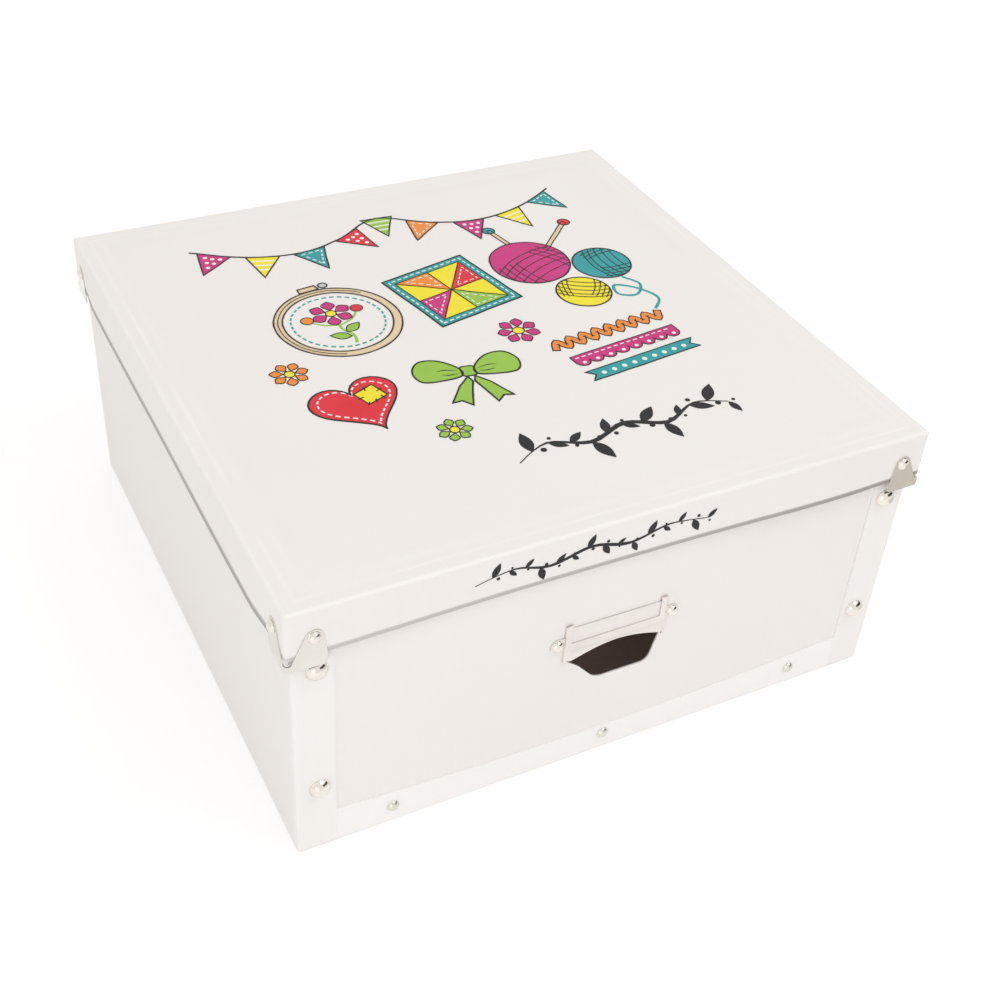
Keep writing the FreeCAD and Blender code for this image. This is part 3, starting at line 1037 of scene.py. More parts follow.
class Finishes:
    """Every finish of the box, built once."""

    def __init__(self, effects: Effects) -> None:
        """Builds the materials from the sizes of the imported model.

        Args:
            effects: The shared node groups.
        """
        shell, lid = Block.of("body_shell"), Block.of("lid_sheet")
        deep = 0.5
        body_frame = {"middle": (0, 0, shell.low.z + deep), "half": (shell.high.x, shell.high.y, deep)}
        lid_frame = {"middle": (0, 0, lid.high.z - deep), "half": (lid.high.x, lid.high.y, deep)}
        white = (240, 236, 232)
        # The body's sheets carry a painted shadow under the lid's rim and a painted light beside the upright
        # flap.
        rim_shadow_paint, seam_light_paint = self.painted_body_shade_and_light(shell, lid)
        self.body = SheetFinish("body_sheet", white, zones=(*self.doubled_flaps(shell), rim_shadow_paint),
                                **body_frame).build(effects)
        self.panel = SheetFinish("panel_sheet", white, zones=(seam_light_paint, rim_shadow_paint), **body_frame).build(effects)
        self.lid = SheetFinish("lid_plastic", white, zones=self.lid_tab_tone_and_rim_shadow(lid), creases=self.lid_creases_and_slope_shade(),
                               **lid_frame).build(effects)
        self.cut = CutEdgeFinish().build(effects)
        self.nickel = MetalFinish("bright_nickel", (238, 233, 225), (222, 216, 207), 0.16).build(effects)
        self.dull = MetalFinish("dull_nickel", (222, 221, 211), (206, 205, 194), 0.3).build(effects)
        self.corner = MetalFinish("corner_nickel", (226, 224, 217), (213, 210, 203), 0.2).build(effects)
        self.pull = MetalFinish("pull_nickel", (235, 229, 225), (220, 214, 210), 0.36).build(effects)
        self.inner = MetalFinish("inner_nickel", (205, 200, 192), (178, 172, 164), 0.3).build(effects)
        self.card = CardFinish().build(effects)
        self.inks = {ink: InkFinish(ink).build(effects) for ink in Ink}

    @staticmethod
    def painted_body_shade_and_light(shell: Block, lid: Block) -> tuple[Zone, Zone]:
        """Painted shade and painted light on the outside of the body, both stronger to the right.

        Args:
            shell: The body's folded sheet.
            lid: The lid's sheet.

        Returns:
            A painted shadow under the lid's rim, and a painted light on the panel beside an upright flap that
            covers the flap's shadow.
        """
        outer = shell.high.y - 1.5 * SHEET
        # Painted shadow: a grey band on the body under the lid's rim, where the flange shades it, growing to
        # the right.
        rim_shadow_paint = Zone((-1, outer, lid.low.z - 7 * MM), (1, 1, lid.low.z + 1 * MM), (170, 166, 161),
                   strength=0.0, drift=1.7, fade=3 * MM)
        # Painted light: a pale line on the panel beside the upright flap, over the shadow of the flap's edge,
        # stronger to the right.
        line = shell.high.x - SIDE_FLAP - 1.4 * MM
        seam_light_paint = Zone((line, outer, FLAP_ENDS), (1, 1, shell.high.z), (255, 253, 250),
                   strength=0.2, drift=1.2, fade=0.4 * MM)
        return rim_shadow_paint, seam_light_paint

    @staticmethod
    def doubled_flaps(shell: Block) -> tuple[Zone, ...]:
        """Where a panel lies behind the flaps of the body.

        Args:
            shell: The body's folded sheet.

        Returns:
            The zones of the upright flaps and of the low ones.
        """
        near, past = shell.high.y - 5 * MM, shell.high.y + 5 * MM
        edge = shell.high.x - SIDE_FLAP
        doubled = (248, 246, 244)
        upright = Zone((edge, near, 0), (shell.high.x + 5 * MM, past, shell.high.z), doubled, 0.45)
        low = Zone((-1, near, -5 * MM), (edge + 1.2 * MM, past, FLAP_ENDS + 1.5 * MM), doubled, 0.9)
        return upright, low

    @staticmethod
    def lid_tab_tone_and_rim_shadow(lid: Block) -> tuple[Zone, ...]:
        """Tone where tabs double the flanges of the lid, and a painted shadow along their lower edges.

        Args:
            lid: The lid's sheet.

        Returns:
            Where a tab lies behind the flanges, and the painted shadow line along their lower edges.
        """
        side, end = lid.high.x - 5 * MM, lid.high.y - TAB_LENGTH
        low, high = lid.low.z + TAB_INSET, lid.high.z - SHEET - TAB_INSET
        tab = Zone((side, end, low), (1, 1, high), (246, 244, 242), 0.25, fade=6 * MM)
        # Painted shadow: a grey line along the lower edges of the flanges, where the gap under the lid is in
        # shade; on the front and back it grows to the right.
        under, grey = lid.low.z - 5 * MM, (138, 132, 127)
        ends = Zone((-1, side, under), (1, 1, lid.low.z + 3.3 * MM), grey, 0.69, 1.2, 1.3 * MM)
        sides = Zone((side, -1, under), (1, side, lid.low.z + 5 * MM), grey, 0.8, fade=2.2 * MM)
        return tab, ends, sides

    @staticmethod
    def lid_creases_and_slope_shade() -> tuple[Crease, ...]:
        """Faint creases beside the folds of the lid, and a band of painted shade where the pillowed top
        slopes down to them.

        Returns:
            Two pale creases and a wide grey band of painted shade.
        """
        return (Crease(CREASES[0], 1.4 * MM, 0.45, (251, 249, 247)),
                Crease(CREASES[1], 3.0 * MM, 0.15, (250, 248, 246)),
                # Painted shade: a wide grey band where the pillowed top slopes down towards its folds.
                Crease(21 * MM, 7 * MM, 0.12, (228, 224, 220)))


@dataclass
class BodyShell:
    """Base and side walls folded from one sheet, with flaps round onto the front and the back."""

    finishes: Finishes
    hinge: float = 3.0 * MM
    pitch: float = 8 * MM
    bow: float = 0.35 * MM
    bow_from_end: float = 60 * MM
    bow_from_foot: float = 40 * MM
    bow_length: float = 130 * MM
    lift: float = 0.02 * MM
    lift_run: float = 12 * MM
    held_by_stud: float = 24 * MM
    block: Block = field(default_factory=lambda: Block.of("body_shell"))
    studs: Block = field(default_factory=lambda: Block.of("press_stud_caps"))

    def trim(self, point: Vector) -> Vector:
        """Lowers the upper edge of a bottom flap to its hollow arc.

        Args:
            point: A place on the flap with a straight edge.

        Returns:
            Where it goes.
        """
        edge, slack = self.block.high.x - SIDE_FLAP, 0.01 * MM
        if abs(point.y) < self.block.high.y - slack or abs(point.x) > edge or point.z > FLAP_ENDS + slack:
            return point
        drop = (FLAP_ENDS - FLAP_MIDDLE) * (1 - (point.x / edge) ** 2)
        share = max(0.0, (point.z - FOLD) / (FLAP_ENDS - FOLD))
        return point - Vector((0, 0, drop * share))

    def is_cut(self, point: Vector) -> bool:
        """Whether the sheet is cut away: over the panels, beside the flaps and under their feet.

        Args:
            point: A place on the even shape.

        Returns:
            Whether nothing is there.
        """
        across = abs(point.x)
        edge = self.block.high.x - SIDE_FLAP
        if abs(point.y) < self.block.high.y - FOLD or across > self.block.high.x - self.hinge:
            return False
        if across < edge and point.z > FLAP_ENDS:
            return True
        if edge - SEAM < across < edge:
            return point.z > SHEET
        return across > edge and FOLD < point.z < FOLD + SEAM

    def shift(self, point: Vector, normal: Vector) -> float:
        """How far the sheet stands out at a place.

        Args:
            point: The place on the even shape.
            normal: Outward direction there.

        Returns:
            The distance outward.
        """
        if abs(normal.x) > 0.99:
            span = smoothstep((self.block.high.y - abs(point.y)) / self.bow_from_end)
            rise = smoothstep(point.z / self.bow_from_foot)
            uneven = ripple(point.y, point.z, self.bow_length, normal.x)
            return span * rise * self.bow * (0.6 + 0.8 * uneven)
        if abs(normal.y) > 0.99 and abs(point.x) > self.block.high.x - SIDE_FLAP - SEAM / 2:
            return self.flap_lift(point)
        return 0.0

    def flap_lift(self, point: Vector) -> float:
        """How far an upright flap stands off its panel between its press studs.

        Args:
            point: A place on the even shape.

        Returns:
            The distance outward.
        """
        free = 1 - smoothstep((abs(point.x) - (self.block.high.x - SIDE_FLAP)) / self.lift_run)
        held = 1.0
        for height in self.studs.inner(2, CAP_RADIUS):
            held *= 1 - math.exp(-((point.z - height) / self.held_by_stud) ** 2)
        return self.lift * free * (0.25 + held)

    def build(self) -> None:
        """Builds the folded sheet."""
        reach_x, reach_y = self.block.high.x - FOLD, self.block.high.y - FOLD
        edge = self.block.high.x - SIDE_FLAP
        cuts = [edge, edge - SEAM, self.block.high.x - self.hinge]
        tray = Tray(
            self.block.high.x, self.block.high.y, self.block.low.z, self.block.high.z, FOLD, SHEET,
            lines_between(-reach_x, reach_x, self.pitch, [*cuts, *[-cut for cut in cuts]]),
            lines_between(-reach_y, reach_y, self.pitch),
            lines_between(self.block.low.z + FOLD, self.block.high.z, self.pitch, [FOLD + SEAM, FLAP_ENDS]))
        skin = Skin()
        tray.build(skin, self.is_cut, self.shift, 1, self.trim)
        Piece("folded_body", Body.BOX, Slot.BODY, ("body_shell",)).make(
            skin, (self.finishes.body, self.finishes.cut))


@dataclass
class Panels:
    """Front and back panel, standing inside the flaps; the front one has the finger hole."""

    finishes: Finishes
    behind: float = 0.01 * MM
    pitch: float = 8 * MM
    wave: float = 0.12 * MM
    wave_from_side: float = 60 * MM
    wave_from_flap: float = 30 * MM
    wave_from_hole: float = 90 * MM
    wave_length: float = 110 * MM
    hole_half: float = 28.8 * MM
    hole_top: float = 86.5 * MM
    hole_shoulder: float = 77.9 * MM
    hole_turn: float = 0.8 * MM
    hole_elbow: Corner = (-19.6 * MM, 70.1 * MM, 6 * MM)
    hole_left_foot: Corner = (-8.7 * MM, 57.6 * MM, 10 * MM)
    hole_right_foot: Corner = (23.6 * MM, 57.6 * MM, 5.5 * MM)

    def hole(self) -> list[Flat]:
        """Outline of the finger hole, whose floor bends up softly on the left and steeply on the right.

        Returns:
            Its points.
        """
        half, top, shoulder, turn = self.hole_half, self.hole_top, self.hole_shoulder, self.hole_turn
        middle = Block.of("pull_plate").middle(0)
        outline = rounded([(-half, top, 0), (-half, shoulder, turn), self.hole_elbow, self.hole_left_foot,
                           self.hole_right_foot, (half, shoulder, turn), (half, top, 0)])
        return [(middle + u, v) for u, v in outline]

    def build_one(self, node: str, name: str, facing_y: int, holes: Sequence[Sequence[Flat]]) -> None:
        """Builds one panel.

        Args:
            node: The node that it stands for.
            name: Name of the piece.
            facing_y: -1 for the front and 1 for the back.
            holes: Outlines of its holes.
        """
        block = Block.of(node)
        face = (block.high.y if facing_y > 0 else -block.low.y) - self.behind
        half = block.high.x

        def surface(u: float, v: float) -> Placed:
            """Surface of the panel, which waves a little away from what holds it.

            Args:
                u: Place across, as seen from outside.
                v: Height.

            Returns:
                The place and the outward direction.
            """
            from_side = smoothstep((half - abs(u)) / self.wave_from_side)
            from_flap = smoothstep((v - FLAP_ENDS) / self.wave_from_flap)
            from_hole = smoothstep(math.hypot(u, v - self.hole_top) / self.wave_from_hole - 0.5)
            uneven = 1 + ripple(u, v, self.wave_length, facing_y)
            out = -self.wave * (from_side * from_flap) * from_hole * uneven
            return Vector((-facing_y * u, facing_y * (face + out), v)), Vector((0, facing_y, 0))

        outline = [(-half, block.low.z), (half, block.low.z), (half, block.high.z), (-half, block.high.z)]
        skin = Skin()
        Blank(spaced(outline, self.pitch), holes, self.pitch).lay(skin, surface, SHEET, 1)
        Piece(name, Body.BOX, Slot.PANEL, (node,)).make(skin, (self.finishes.panel, self.finishes.cut))

    def build(self) -> None:
        """Builds both panels."""
        self.build_one("front_panel", "front_sheet", -1, [self.hole()])
        self.build_one("back_panel", "back_sheet", 1, [])


@dataclass
class LidSheet:
    """Lid folded from one sheet: top, four flanges, and corner tabs inside the left and right flanges."""

    finishes: Finishes
    pillow: float = 0.6 * MM
    pillow_inset: float = 3 * MM
    pillow_run: float = 17 * MM
    crease: float = 0.03 * MM
    crease_width: float = 0.8 * MM
    wave: float = 0.3 * MM
    wave_inset: float = 6 * MM
    wave_run: float = 40 * MM
    wave_length: float = 120 * MM
    bow: float = 0.25 * MM
    bow_inset: float = 25 * MM
    bow_run: float = 60 * MM
    bow_length: float = 90 * MM
    side_flare: float = 1.7 * MM
    flare_inset: float = 18 * MM
    flare_run: float = 25 * MM
    front_lean: float = 1.9 * MM
    lean_inset: float = 12 * MM
    lean_run: float = 110 * MM
    lean_middle: float = -45 * MM
    front_flare: float = 1.3 * MM
    flare_middle: float = 115 * MM
    flare_width: float = 45 * MM
    tab_gap: float = 0.05 * MM
    tab_turn: float = 4 * MM
    block: Block = field(default_factory=lambda: Block.of("lid_sheet"))

    def top_rise(self, x: float, y: float) -> float:
        """Height of the top over an even sheet: a soft pillow, with creases beside its folds.

        Args:
            x: Place across.
            y: Place from front to back.

        Returns:
            The height.
        """
        from_side, from_end = self.block.high.x - abs(x), self.block.high.y - abs(y)
        near = min(from_side, from_end)
        rise = self.pillow * (smoothstep((from_side - self.pillow_inset) / self.pillow_run)
                              * smoothstep((from_end - self.pillow_inset) / self.pillow_run))
        for inset in CREASES:
            rise += self.crease * math.exp(-((near - inset) / self.crease_width) ** 2)
        settled = smoothstep((near - self.wave_inset) / self.wave_run)
        return rise + self.wave * settled * (ripple(x, y, self.wave_length, 3.1) - 0.3)

    def flange_rise(self, point: Vector, normal: Vector) -> float:
        """How far a flange stands out, none of it at its corners.

        Args:
            point: The place on the even shape.
            normal: Outward direction there.

        Returns:
            The distance outward.
        """
        is_side = abs(normal.x) > 0.5
        along, reach = (abs(point.y), self.block.high.y) if is_side else (abs(point.x), self.block.high.x)
        span = smoothstep((reach - self.bow_inset - along) / self.bow_run)
        fold = self.block.high.z - FOLD
        share = max(0.0, (fold - point.z) / (fold - self.block.low.z))
        uneven = ripple(along, point.z, self.bow_length, normal.x + 2 * normal.y)
        rise = self.bow * span * smoothstep(share) * (0.5 + uneven)
        past_corner = smoothstep((reach - self.flare_inset - along) / self.flare_run)
        if is_side:
            return rise + self.side_flare * share * past_corner
        if normal.y < 0:
            return rise + self.front_tilt(point.x) * share * past_corner
        return rise

    def front_tilt(self, x: float) -> float:
        """How far the lower edge of the front flange leans in left of the middle and out at the right.

        Args:
            x: Place along the flange.

        Returns:
            The distance outward.
        """
        side = self.block.high.x - self.lean_inset
        from_left = smoothstep((x + side) / self.lean_run)
        to_right = 1 - smoothstep((x - self.lean_middle) / (side - self.lean_middle))
        outward = self.front_flare * math.exp(-((x - self.flare_middle) / self.flare_width) ** 2)
        return outward - self.front_lean * from_left * to_right

    def shift(self, point: Vector, normal: Vector) -> float:
        """How far the sheet stands out.

        Args:
            point: The place on the even shape.
            normal: Outward direction there.

        Returns:
            The distance outward.
        """
        if normal.z > 0.99:
            return self.top_rise(point.x, point.y)
        if abs(normal.z) < 0.01 and max(abs(normal.x), abs(normal.y)) > 0.99:
            return self.flange_rise(point, normal)
        return 0.0

    def top(self, x: float, y: float) -> Placed:
        """Place and outward direction on the top."""
        return Vector((x, y, self.block.high.z + self.top_rise(x, y))), Vector((0, 0, 1))

    def front(self, x: float, z: float) -> Placed:
        """Place and outward direction on the front flange."""
        point, outward = Vector((x, self.block.low.y, z)), Vector((0, -1, 0))
        return point + outward * self.flange_rise(point, outward), outward

    def build(self) -> None:
        """Builds the folded sheet with its tabs."""
        block = self.block
        beside = [inset + step * self.crease_width for inset in CREASES for step in range(-2, 3)]
        insets = [self.pillow_inset, *beside, 20 * MM, 24 * MM]

        def lines(half: float) -> list[float]:
            """Places of the grid over a width, closer beside the creases."""
            fixed = [side * (half - inset) for inset in insets for side in (-1, 1)]
            return lines_between(FOLD - half, half - FOLD, 7 * MM, fixed)

        tray = Tray(block.high.x, block.high.y, block.high.z, block.low.z, FOLD, SHEET,
                    lines(block.high.x), lines(block.high.y),
                    lines_between(block.low.z, block.high.z - FOLD, 5 * MM))
        skin = Skin()
        tray.build(skin, lambda point: False, self.shift, 1)
        for side in (-1, 1):
            for facing_y in (-1, 1):
                self.add_tab(skin, side, facing_y)
        Piece("folded_lid", Body.LID, Slot.LID, ("lid_sheet",)).make(
            skin, (self.finishes.lid, self.finishes.cut))

    def add_tab(self, skin: Skin, side: int, facing_y: int) -> None:
        """Adds the tab at one corner, which is folded in behind the left or right flange.

        Args:
            skin: What it is added to.
            side: -1 for the left and 1 for the right.
            facing_y: -1 for the front and 1 for the back.
        """
        block = self.block
        face = block.high.x - SHEET - self.tab_gap
        start, end = block.high.y - SHEET, block.high.y - SHEET - TAB_LENGTH
        low, high = block.low.z + TAB_INSET, block.high.z - SHEET - TAB_INSET

        def surface(u: float, v: float) -> Placed:
            """Place and outward direction on the tab."""
            return Vector((side * face, side * u, v)), Vector((side, 0, 0))

        turn = side * facing_y
        corners = [(turn * start, low, 0), (turn * end, low, self.tab_turn),
                   (turn * end, high, self.tab_turn), (turn * start, high, 0)]
        Blank(rounded(corners if turn < 0 else corners[::-1])).lay(skin, surface, SHEET, 1)


def between(a: float, b: float, c: float, d: float, t: float) -> float:
    """Value on a soft curve through four, a share t of the way from the second to the third."""
    return b + 0.5 * t * (c - a + t * (2 * a - 5 * b + 4 * c - d + t * (3 * (b - c) + d - a)))


def smooth(points: Sequence[Flat], closed: bool = False) -> list[Flat]:
    """Soft line through points, with five points of its own for each.

    Args:
        points: Places that the line passes through.
        closed: Whether it comes back to its start.

    Returns:
        Points of the line.
    """
    count = len(points)

    def at(number: int) -> Flat:
        """Place of a number, which may lie past either end."""
        return points[number % count] if closed else points[min(max(number, 0), count - 1)]

    line: list[Flat] = []
    for number in range(count if closed else count - 1):
        near = [at(number + step) for step in (-1, 0, 1, 2)]
        for step in range(5):
            line.append(tuple(between(*(place[axis] for place in near), step / 5) for axis in (0, 1)))
    return line if closed else [*line, points[-1]]


def evenly(path: Sequence[Flat], step: float, closed: bool = False) -> list[Flat]:
    """Points at even distances along a line.

    Args:
        path: The line.
        step: About how far they are apart.
        closed: Whether the line comes back to its start.

    Returns:
        The points.
    """
    ends = [*path, path[0]] if closed else list(path)
    reached = [0.0]
    for start, end in zip(ends, ends[1:]):
        reached.append(reached[-1] + math.dist(start, end))
    count = max(2, round(reached[-1] / step))
    points: list[Flat] = []
    run = 0
    for number in range(count if closed else count + 1):
        target = reached[-1] * number / count
        while run < len(ends) - 2 and reached[run + 1] < target:
            run += 1
        share = (target - reached[run]) / max(reached[run + 1] - reached[run], 1e-9)
        (x0, y0), (x1, y1) = ends[run], ends[run + 1]
        points.append((x0 + (x1 - x0) * share, y0 + (y1 - y0) * share))
    return points


def ring(radius: float, x: float = 0.0, y: float = 0.0) -> list[Flat]:
    """Circle with points about 1.5 mm apart."""
    count = max(14, round(4.2 * radius))
    return arc((x, y), radius, 0, 360 * (count - 1) / count, count - 1)


def square(half: float) -> list[Flat]:
    """Square about the middle."""
    return [(-half, -half), (half, -half), (half, half), (-half, half)]


def petal(length: float, width: float, turn: float = 0.0, start: float = 0.0,
          full: float = 0.9) -> list[Flat]:
    """Leaf or petal that points away from the middle.

    Args:
        length: Length from its foot to its tip.
        width: Greatest width.
        turn: Direction of the tip in degrees.
        start: Distance from the middle to its foot.
        full: How far out it is widest: under one nearer the foot, over one nearer the tip.

    Returns:
        Points of its outline.
    """
    count = 9
    upper = [(start + length * n / count, width / 2 * math.sin(math.pi * (n / count) ** full))
             for n in range(count + 1)]
    loop = [*[(u, -v) for u, v in upper], *upper[-2:0:-1]]
    return Spot(0, 0, turn)(loop)


def heart(size: float) -> list[Flat]:
    """Heart about the middle.

    Args:
        size: Its width.

    Returns:
        Points of its outline.
    """
    loop = []
    for number in range(48):
        t = 2 * math.pi * (number + 0.5) / 48
        loop.append((-size / 2 * math.sin(t) ** 3, size / 32 * (
            13 * math.cos(t) - 5 * math.cos(2 * t) - 2 * math.cos(3 * t) - math.cos(4 * t))))
    return loop


@dataclass(frozen=True)
class Spot:
    """Where a motif is drawn, in millimetres, its turn in degrees and its scale."""

    x: float
    y: float
    turn: float = 0.0
    scale: float = 1.0

    def __call__(self, points: Iterable[Flat]) -> list[Flat]:
        """Puts a motif in place.

        Args:
            points: Points of the motif about the middle.

        Returns:
            Where they go.
        """
        cos = self.scale * math.cos(math.radians(self.turn))
        sin = self.scale * math.sin(math.radians(self.turn))
        return [(self.x + u * cos - v * sin, self.y + u * sin + v * cos) for u, v in points]


@dataclass(frozen=True)
class Pen:
    """Draws on one face of the lid, in millimetres: each stroke or fill is one thin closed film of ink."""

    surface: Surface
    skins: dict[Ink, Skin]
    line: float = 0.9
    film: float = 0.018
    wobble: float = 0.3
    slip: Flat = (0.3, -0.25)

    def film_of(self, ink: Ink) -> tuple[Surface, float]:
        """Film of an ink, which reaches a little into the sheet.

        Args:
            ink: The ink.

        Returns:
            Surface and thickness of the film.
        """
        rise = (0.04 + self.film * list(Ink).index(ink)) * MM

        def lifted(u: float, v: float) -> Placed:
            """Place and outward direction on the film."""
            point, outward = self.surface(u * MM, v * MM)
            return point + outward * rise, outward

        return lifted, rise + 0.02 * MM

    def fill(self, loop: Sequence[Flat], ink: Ink, holes: Sequence[Sequence[Flat]] = ()) -> None:
        """Fills a closed line, a little off its outline as a screen print is.

        Args:
            loop: The line.
            ink: Its ink.
            holes: Lines inside it that are left bare.
        """
        def slipped(line: Sequence[Flat]) -> list[Flat]:
            """A line moved by the slip of the print."""
            return [(u + self.slip[0], v + self.slip[1]) for u, v in spaced(line, 4.0)]

        film, thickness = self.film_of(ink)
        Blank(slipped(loop), [slipped(hole) for hole in holes], 6.0).lay(self.skins[ink], film, thickness)

    @staticmethod
    def mitre(before: Flat, at: Flat, after: Flat) -> Vector:
        """Offset to the left of a line at one of its points.

        Args:
            before: The point before, or the point itself at a loose end.
            at: The point.
            after: The point after, or the point itself at a loose end.

        Returns:
            The offset for a half width of one.
        """
        runs = [Vector((end[0] - start[0], end[1] - start[1])) for start, end in ((before, at), (at, after))]
        sides = [Vector((-run.y, run.x)).normalized() for run in runs if run.length > 1e-6]
        total = sum(sides, Vector((0, 0)))
        side = total / (1 + sides[0].dot(sides[-1])) if len(sides) > 1 else total
        return side if side.length < 1.8 else side.normalized() * 1.8

    def stroke(self, path: Sequence[Flat], width: float = 0.0, ink: Ink = Ink.BLACK, closed: bool = False,
               taper: float = 0.0) -> None:
        """Draws a line by hand, with a little wobble.

        Args:
            path: The line.
            width: Its width, or that of a plain outline.
            ink: Its ink.
            closed: Whether it comes back to its start.
            taper: Share of its length over which each end runs out thin.
        """
        points = spaced(path, 2.0, closed)
        count = len(points)
        film, thickness = self.film_of(ink)
        lefts: list[Flat] = []
        rights: list[Flat] = []
        for number, (x, y) in enumerate(points):
            before = points[number - 1] if closed or number > 0 else (x, y)
            after = points[(number + 1) % count] if closed or number < count - 1 else (x, y)
            side = self.mitre(before, (x, y), after)
            from_end = min(number, count - 1 - number) / (taper * count) if taper > 0 else 1.0
            half = 0.5 * (width or self.line) * (1 + 0.2 * ripple(x, y, 7.0, 4.2))
            half *= min(max(from_end, 0.2), 1.0)
            place = (x + self.wobble * ripple(x, y, 13.0, 1.1), y + self.wobble * ripple(x, y, 13.0, 8.8))
            lefts.append((place[0] + side.x * half, place[1] + side.y * half))
            rights.append((place[0] - side.x * half, place[1] - side.y * half))
        placed = [film(u, v) for u, v in [*rights, *lefts]]
        faces = []
        for i in range(count if closed else count - 1):
            j = (i + 1) % count
            faces.append((i, j, count + j, count + i))
        self.skins[ink].add_sheet([point for point, _ in placed], [normal for _, normal in placed],
                                  faces, thickness)

    def shape(self, loop: Sequence[Flat], ink: Ink, line: float = 0.0) -> None:
        """Fills a closed line and draws its outline in black."""
        self.fill(loop, ink)
        self.stroke(loop, line, closed=True)

    def dashes(self, path: Sequence[Flat], ink: Ink, closed: bool = True, width: float = 0.8) -> None:
        """Draws a running stitch.

        Args:
            path: The line that it follows.
            ink: Its ink.
            closed: Whether the line comes back to its start.
            width: Width of a stitch.
        """
        points = evenly(path, 0.9, closed)
        for first in range(0, len(points) - 3, 5):
            self.stroke(points[first:first + 4], width, ink)

    @staticmethod
    def ribbon(path: Sequence[Flat], width: float) -> list[Flat]:
        """Outline of a ribbon.

        Args:
            path: The line that it follows.
            width: Its width.

        Returns:
            Points of the outline.
        """
        last = len(path) - 1
        lefts, rights = [], []
        for number, (x, y) in enumerate(path):
            side = Pen.mitre(path[max(number - 1, 0)], (x, y), path[min(number + 1, last)]) * (width / 2)
            lefts.append((x + side.x, y + side.y))
            rights.append((x - side.x, y - side.y))
        return [*rights, *reversed(lefts)]


@dataclass
class LidPrint:
    """Screen print of needlework motifs on the top of the lid, and of a leafy stem on its front flange."""

    finishes: Finishes
    lid: LidSheet

    def build(self) -> None:
        """Builds one piece for each ink."""
        skins = {ink: Skin() for ink in Ink}
        self.draw_top(Pen(self.lid.top, skins))
        self.draw_front(Pen(self.lid.front, skins))
        for ink, skin in skins.items():
            Piece("print_" + ink.name.lower(), Body.LID).make(skin, (self.finishes.inks[ink],))

    def draw_top(self, pen: Pen) -> None:
        """Draws the motifs of the top.

        Args:
            pen: What draws them.
        """
        self.garland(pen)
        self.hoop(pen, Spot(-68, 34, 6))
        self.quilt(pen, Spot(6, 42, 13))
        self.yarn(pen)
        self.patch(pen, Spot(-88, -44, 10))
        self.bow(pen, Spot(-22, -38, -8))
        self.trims(pen, Spot(72, -50, 7))
        self.daisy(pen, Spot(-112, -6, 5), Ink.ORANGE)
        self.daisy(pen, Spot(22, -12, 20, 1.15), Ink.MAGENTA)
        self.daisy(pen, Spot(-52, -84, 40, 0.9), Ink.LIME)
        stem = smooth([(-34, -122), (-14, -112), (8, -120), (32, -112), (54, -120), (76, -110), (94, -116)])
        self.vine(pen, stem, 2.8, 17.0, 11.5)

    def draw_front(self, pen: Pen) -> None:
        """Draws the stem on the front flange."""
        stem = smooth([(-86, 152), (-66, 156), (-46, 151), (-24, 156), (-2, 151), (20, 156), (42, 153)])
        self.vine(pen, stem, 1.8, 9.5, 8.5)

    @staticmethod
    def garland(pen: Pen) -> None:
        """Draws nine pennants on a string along the back.

        Args:
            pen: What draws them.
        """
        string = smooth([(-122, 137), (-92, 120), (-60, 114), (-31, 122), (-2, 138), (29, 121), (60, 114),
                         (92, 121), (120, 137)])
        pen.stroke(string, 1.2)
        inks = (Ink.MAGENTA, Ink.YELLOW, Ink.TEAL, Ink.RED, Ink.LIME, Ink.ORANGE)
        marks = evenly(string, 1.0)
        count = 9
        for number in range(count):
            at = round((number + 0.5) / count * (len(marks) - 1))
            run_x, run_y = marks[at + 4][0] - marks[at - 4][0], marks[at + 4][1] - marks[at - 4][1]
            spot = Spot(*marks[at], math.degrees(math.atan2(run_y, run_x)))
            pen.shape(spot([(-10, 0), (10, 0), (0, -24)]), inks[number % len(inks)])
            if number % 3 == 0:
                for x, y in ((-4.5, -4), (0, -4.5), (4.5, -4), (-2, -9.5), (2.2, -9.5), (0, -15)):
                    pen.fill(spot(ring(1.3, x, y)), Ink.CHALK)
            elif number % 3 == 1:
                for y in (-5, -10, -15):
                    pen.stroke(spot([(-7 - y * 0.35 - 2, y), (7 + y * 0.35 + 2, y)]), 1.3, Ink.CHALK)
            else:
                pen.dashes(spot([(-6.6, -2.4), (6.6, -2.4), (0, -18)]), Ink.CHALK)

    @staticmethod
    def hoop(pen: Pen, spot: Spot) -> None:
        """Draws an embroidery hoop with a stitched flower.

        Args:
            pen: What draws it.
            spot: Where it is.
        """
        outer, inner = spot(ring(36)), spot(ring(31))
        pen.fill(outer, Ink.WOOD, [inner])
        pen.stroke(outer, closed=True)
        pen.stroke(inner, closed=True)
        pen.stroke(spot(arc((0, 0), 33.6, 40, 250, 60)), 0.5)
        pen.shape(spot([(-6, 36.4), (6, 36.4), (5.4, 41), (-5.4, 41)]), Ink.WOOD)
        pen.shape(spot(ring(2.7, 10, 38.8)), Ink.GREY)
        pen.dashes(spot(ring(26.5)), Ink.TEAL, width=1.1)
        pen.stroke(spot(smooth([(0, 2), (-2, -8), (1, -16), (-1, -24)])), 1.7, Ink.LIME)
        for x, y, turn in ((-1, -12, 28), (-0.5, -17, 152)):
            pen.shape(Spot(*spot([(x, y)])[0], spot.turn + turn)(petal(12, 6.5)), Ink.LIME, 0.6)
        for side, ink in ((-1, Ink.ORANGE), (1, Ink.RED)):
            pen.stroke(spot(smooth([(0, -4), (side * 8, -1), (side * 14, 5)])), 1.3, Ink.LIME)
            pen.shape(spot(ring(3.6, side * 15.5, 8)), ink, 0.6)
        for number in range(6):
            pen.shape(spot([(x, y + 9) for x, y in petal(9.5, 7.6, 60 * number + 15, 3.2, 1.25)]),
                      Ink.MAGENTA, 0.6)
        pen.shape(spot(ring(3.1, 0, 9)), Ink.YELLOW, 0.6)

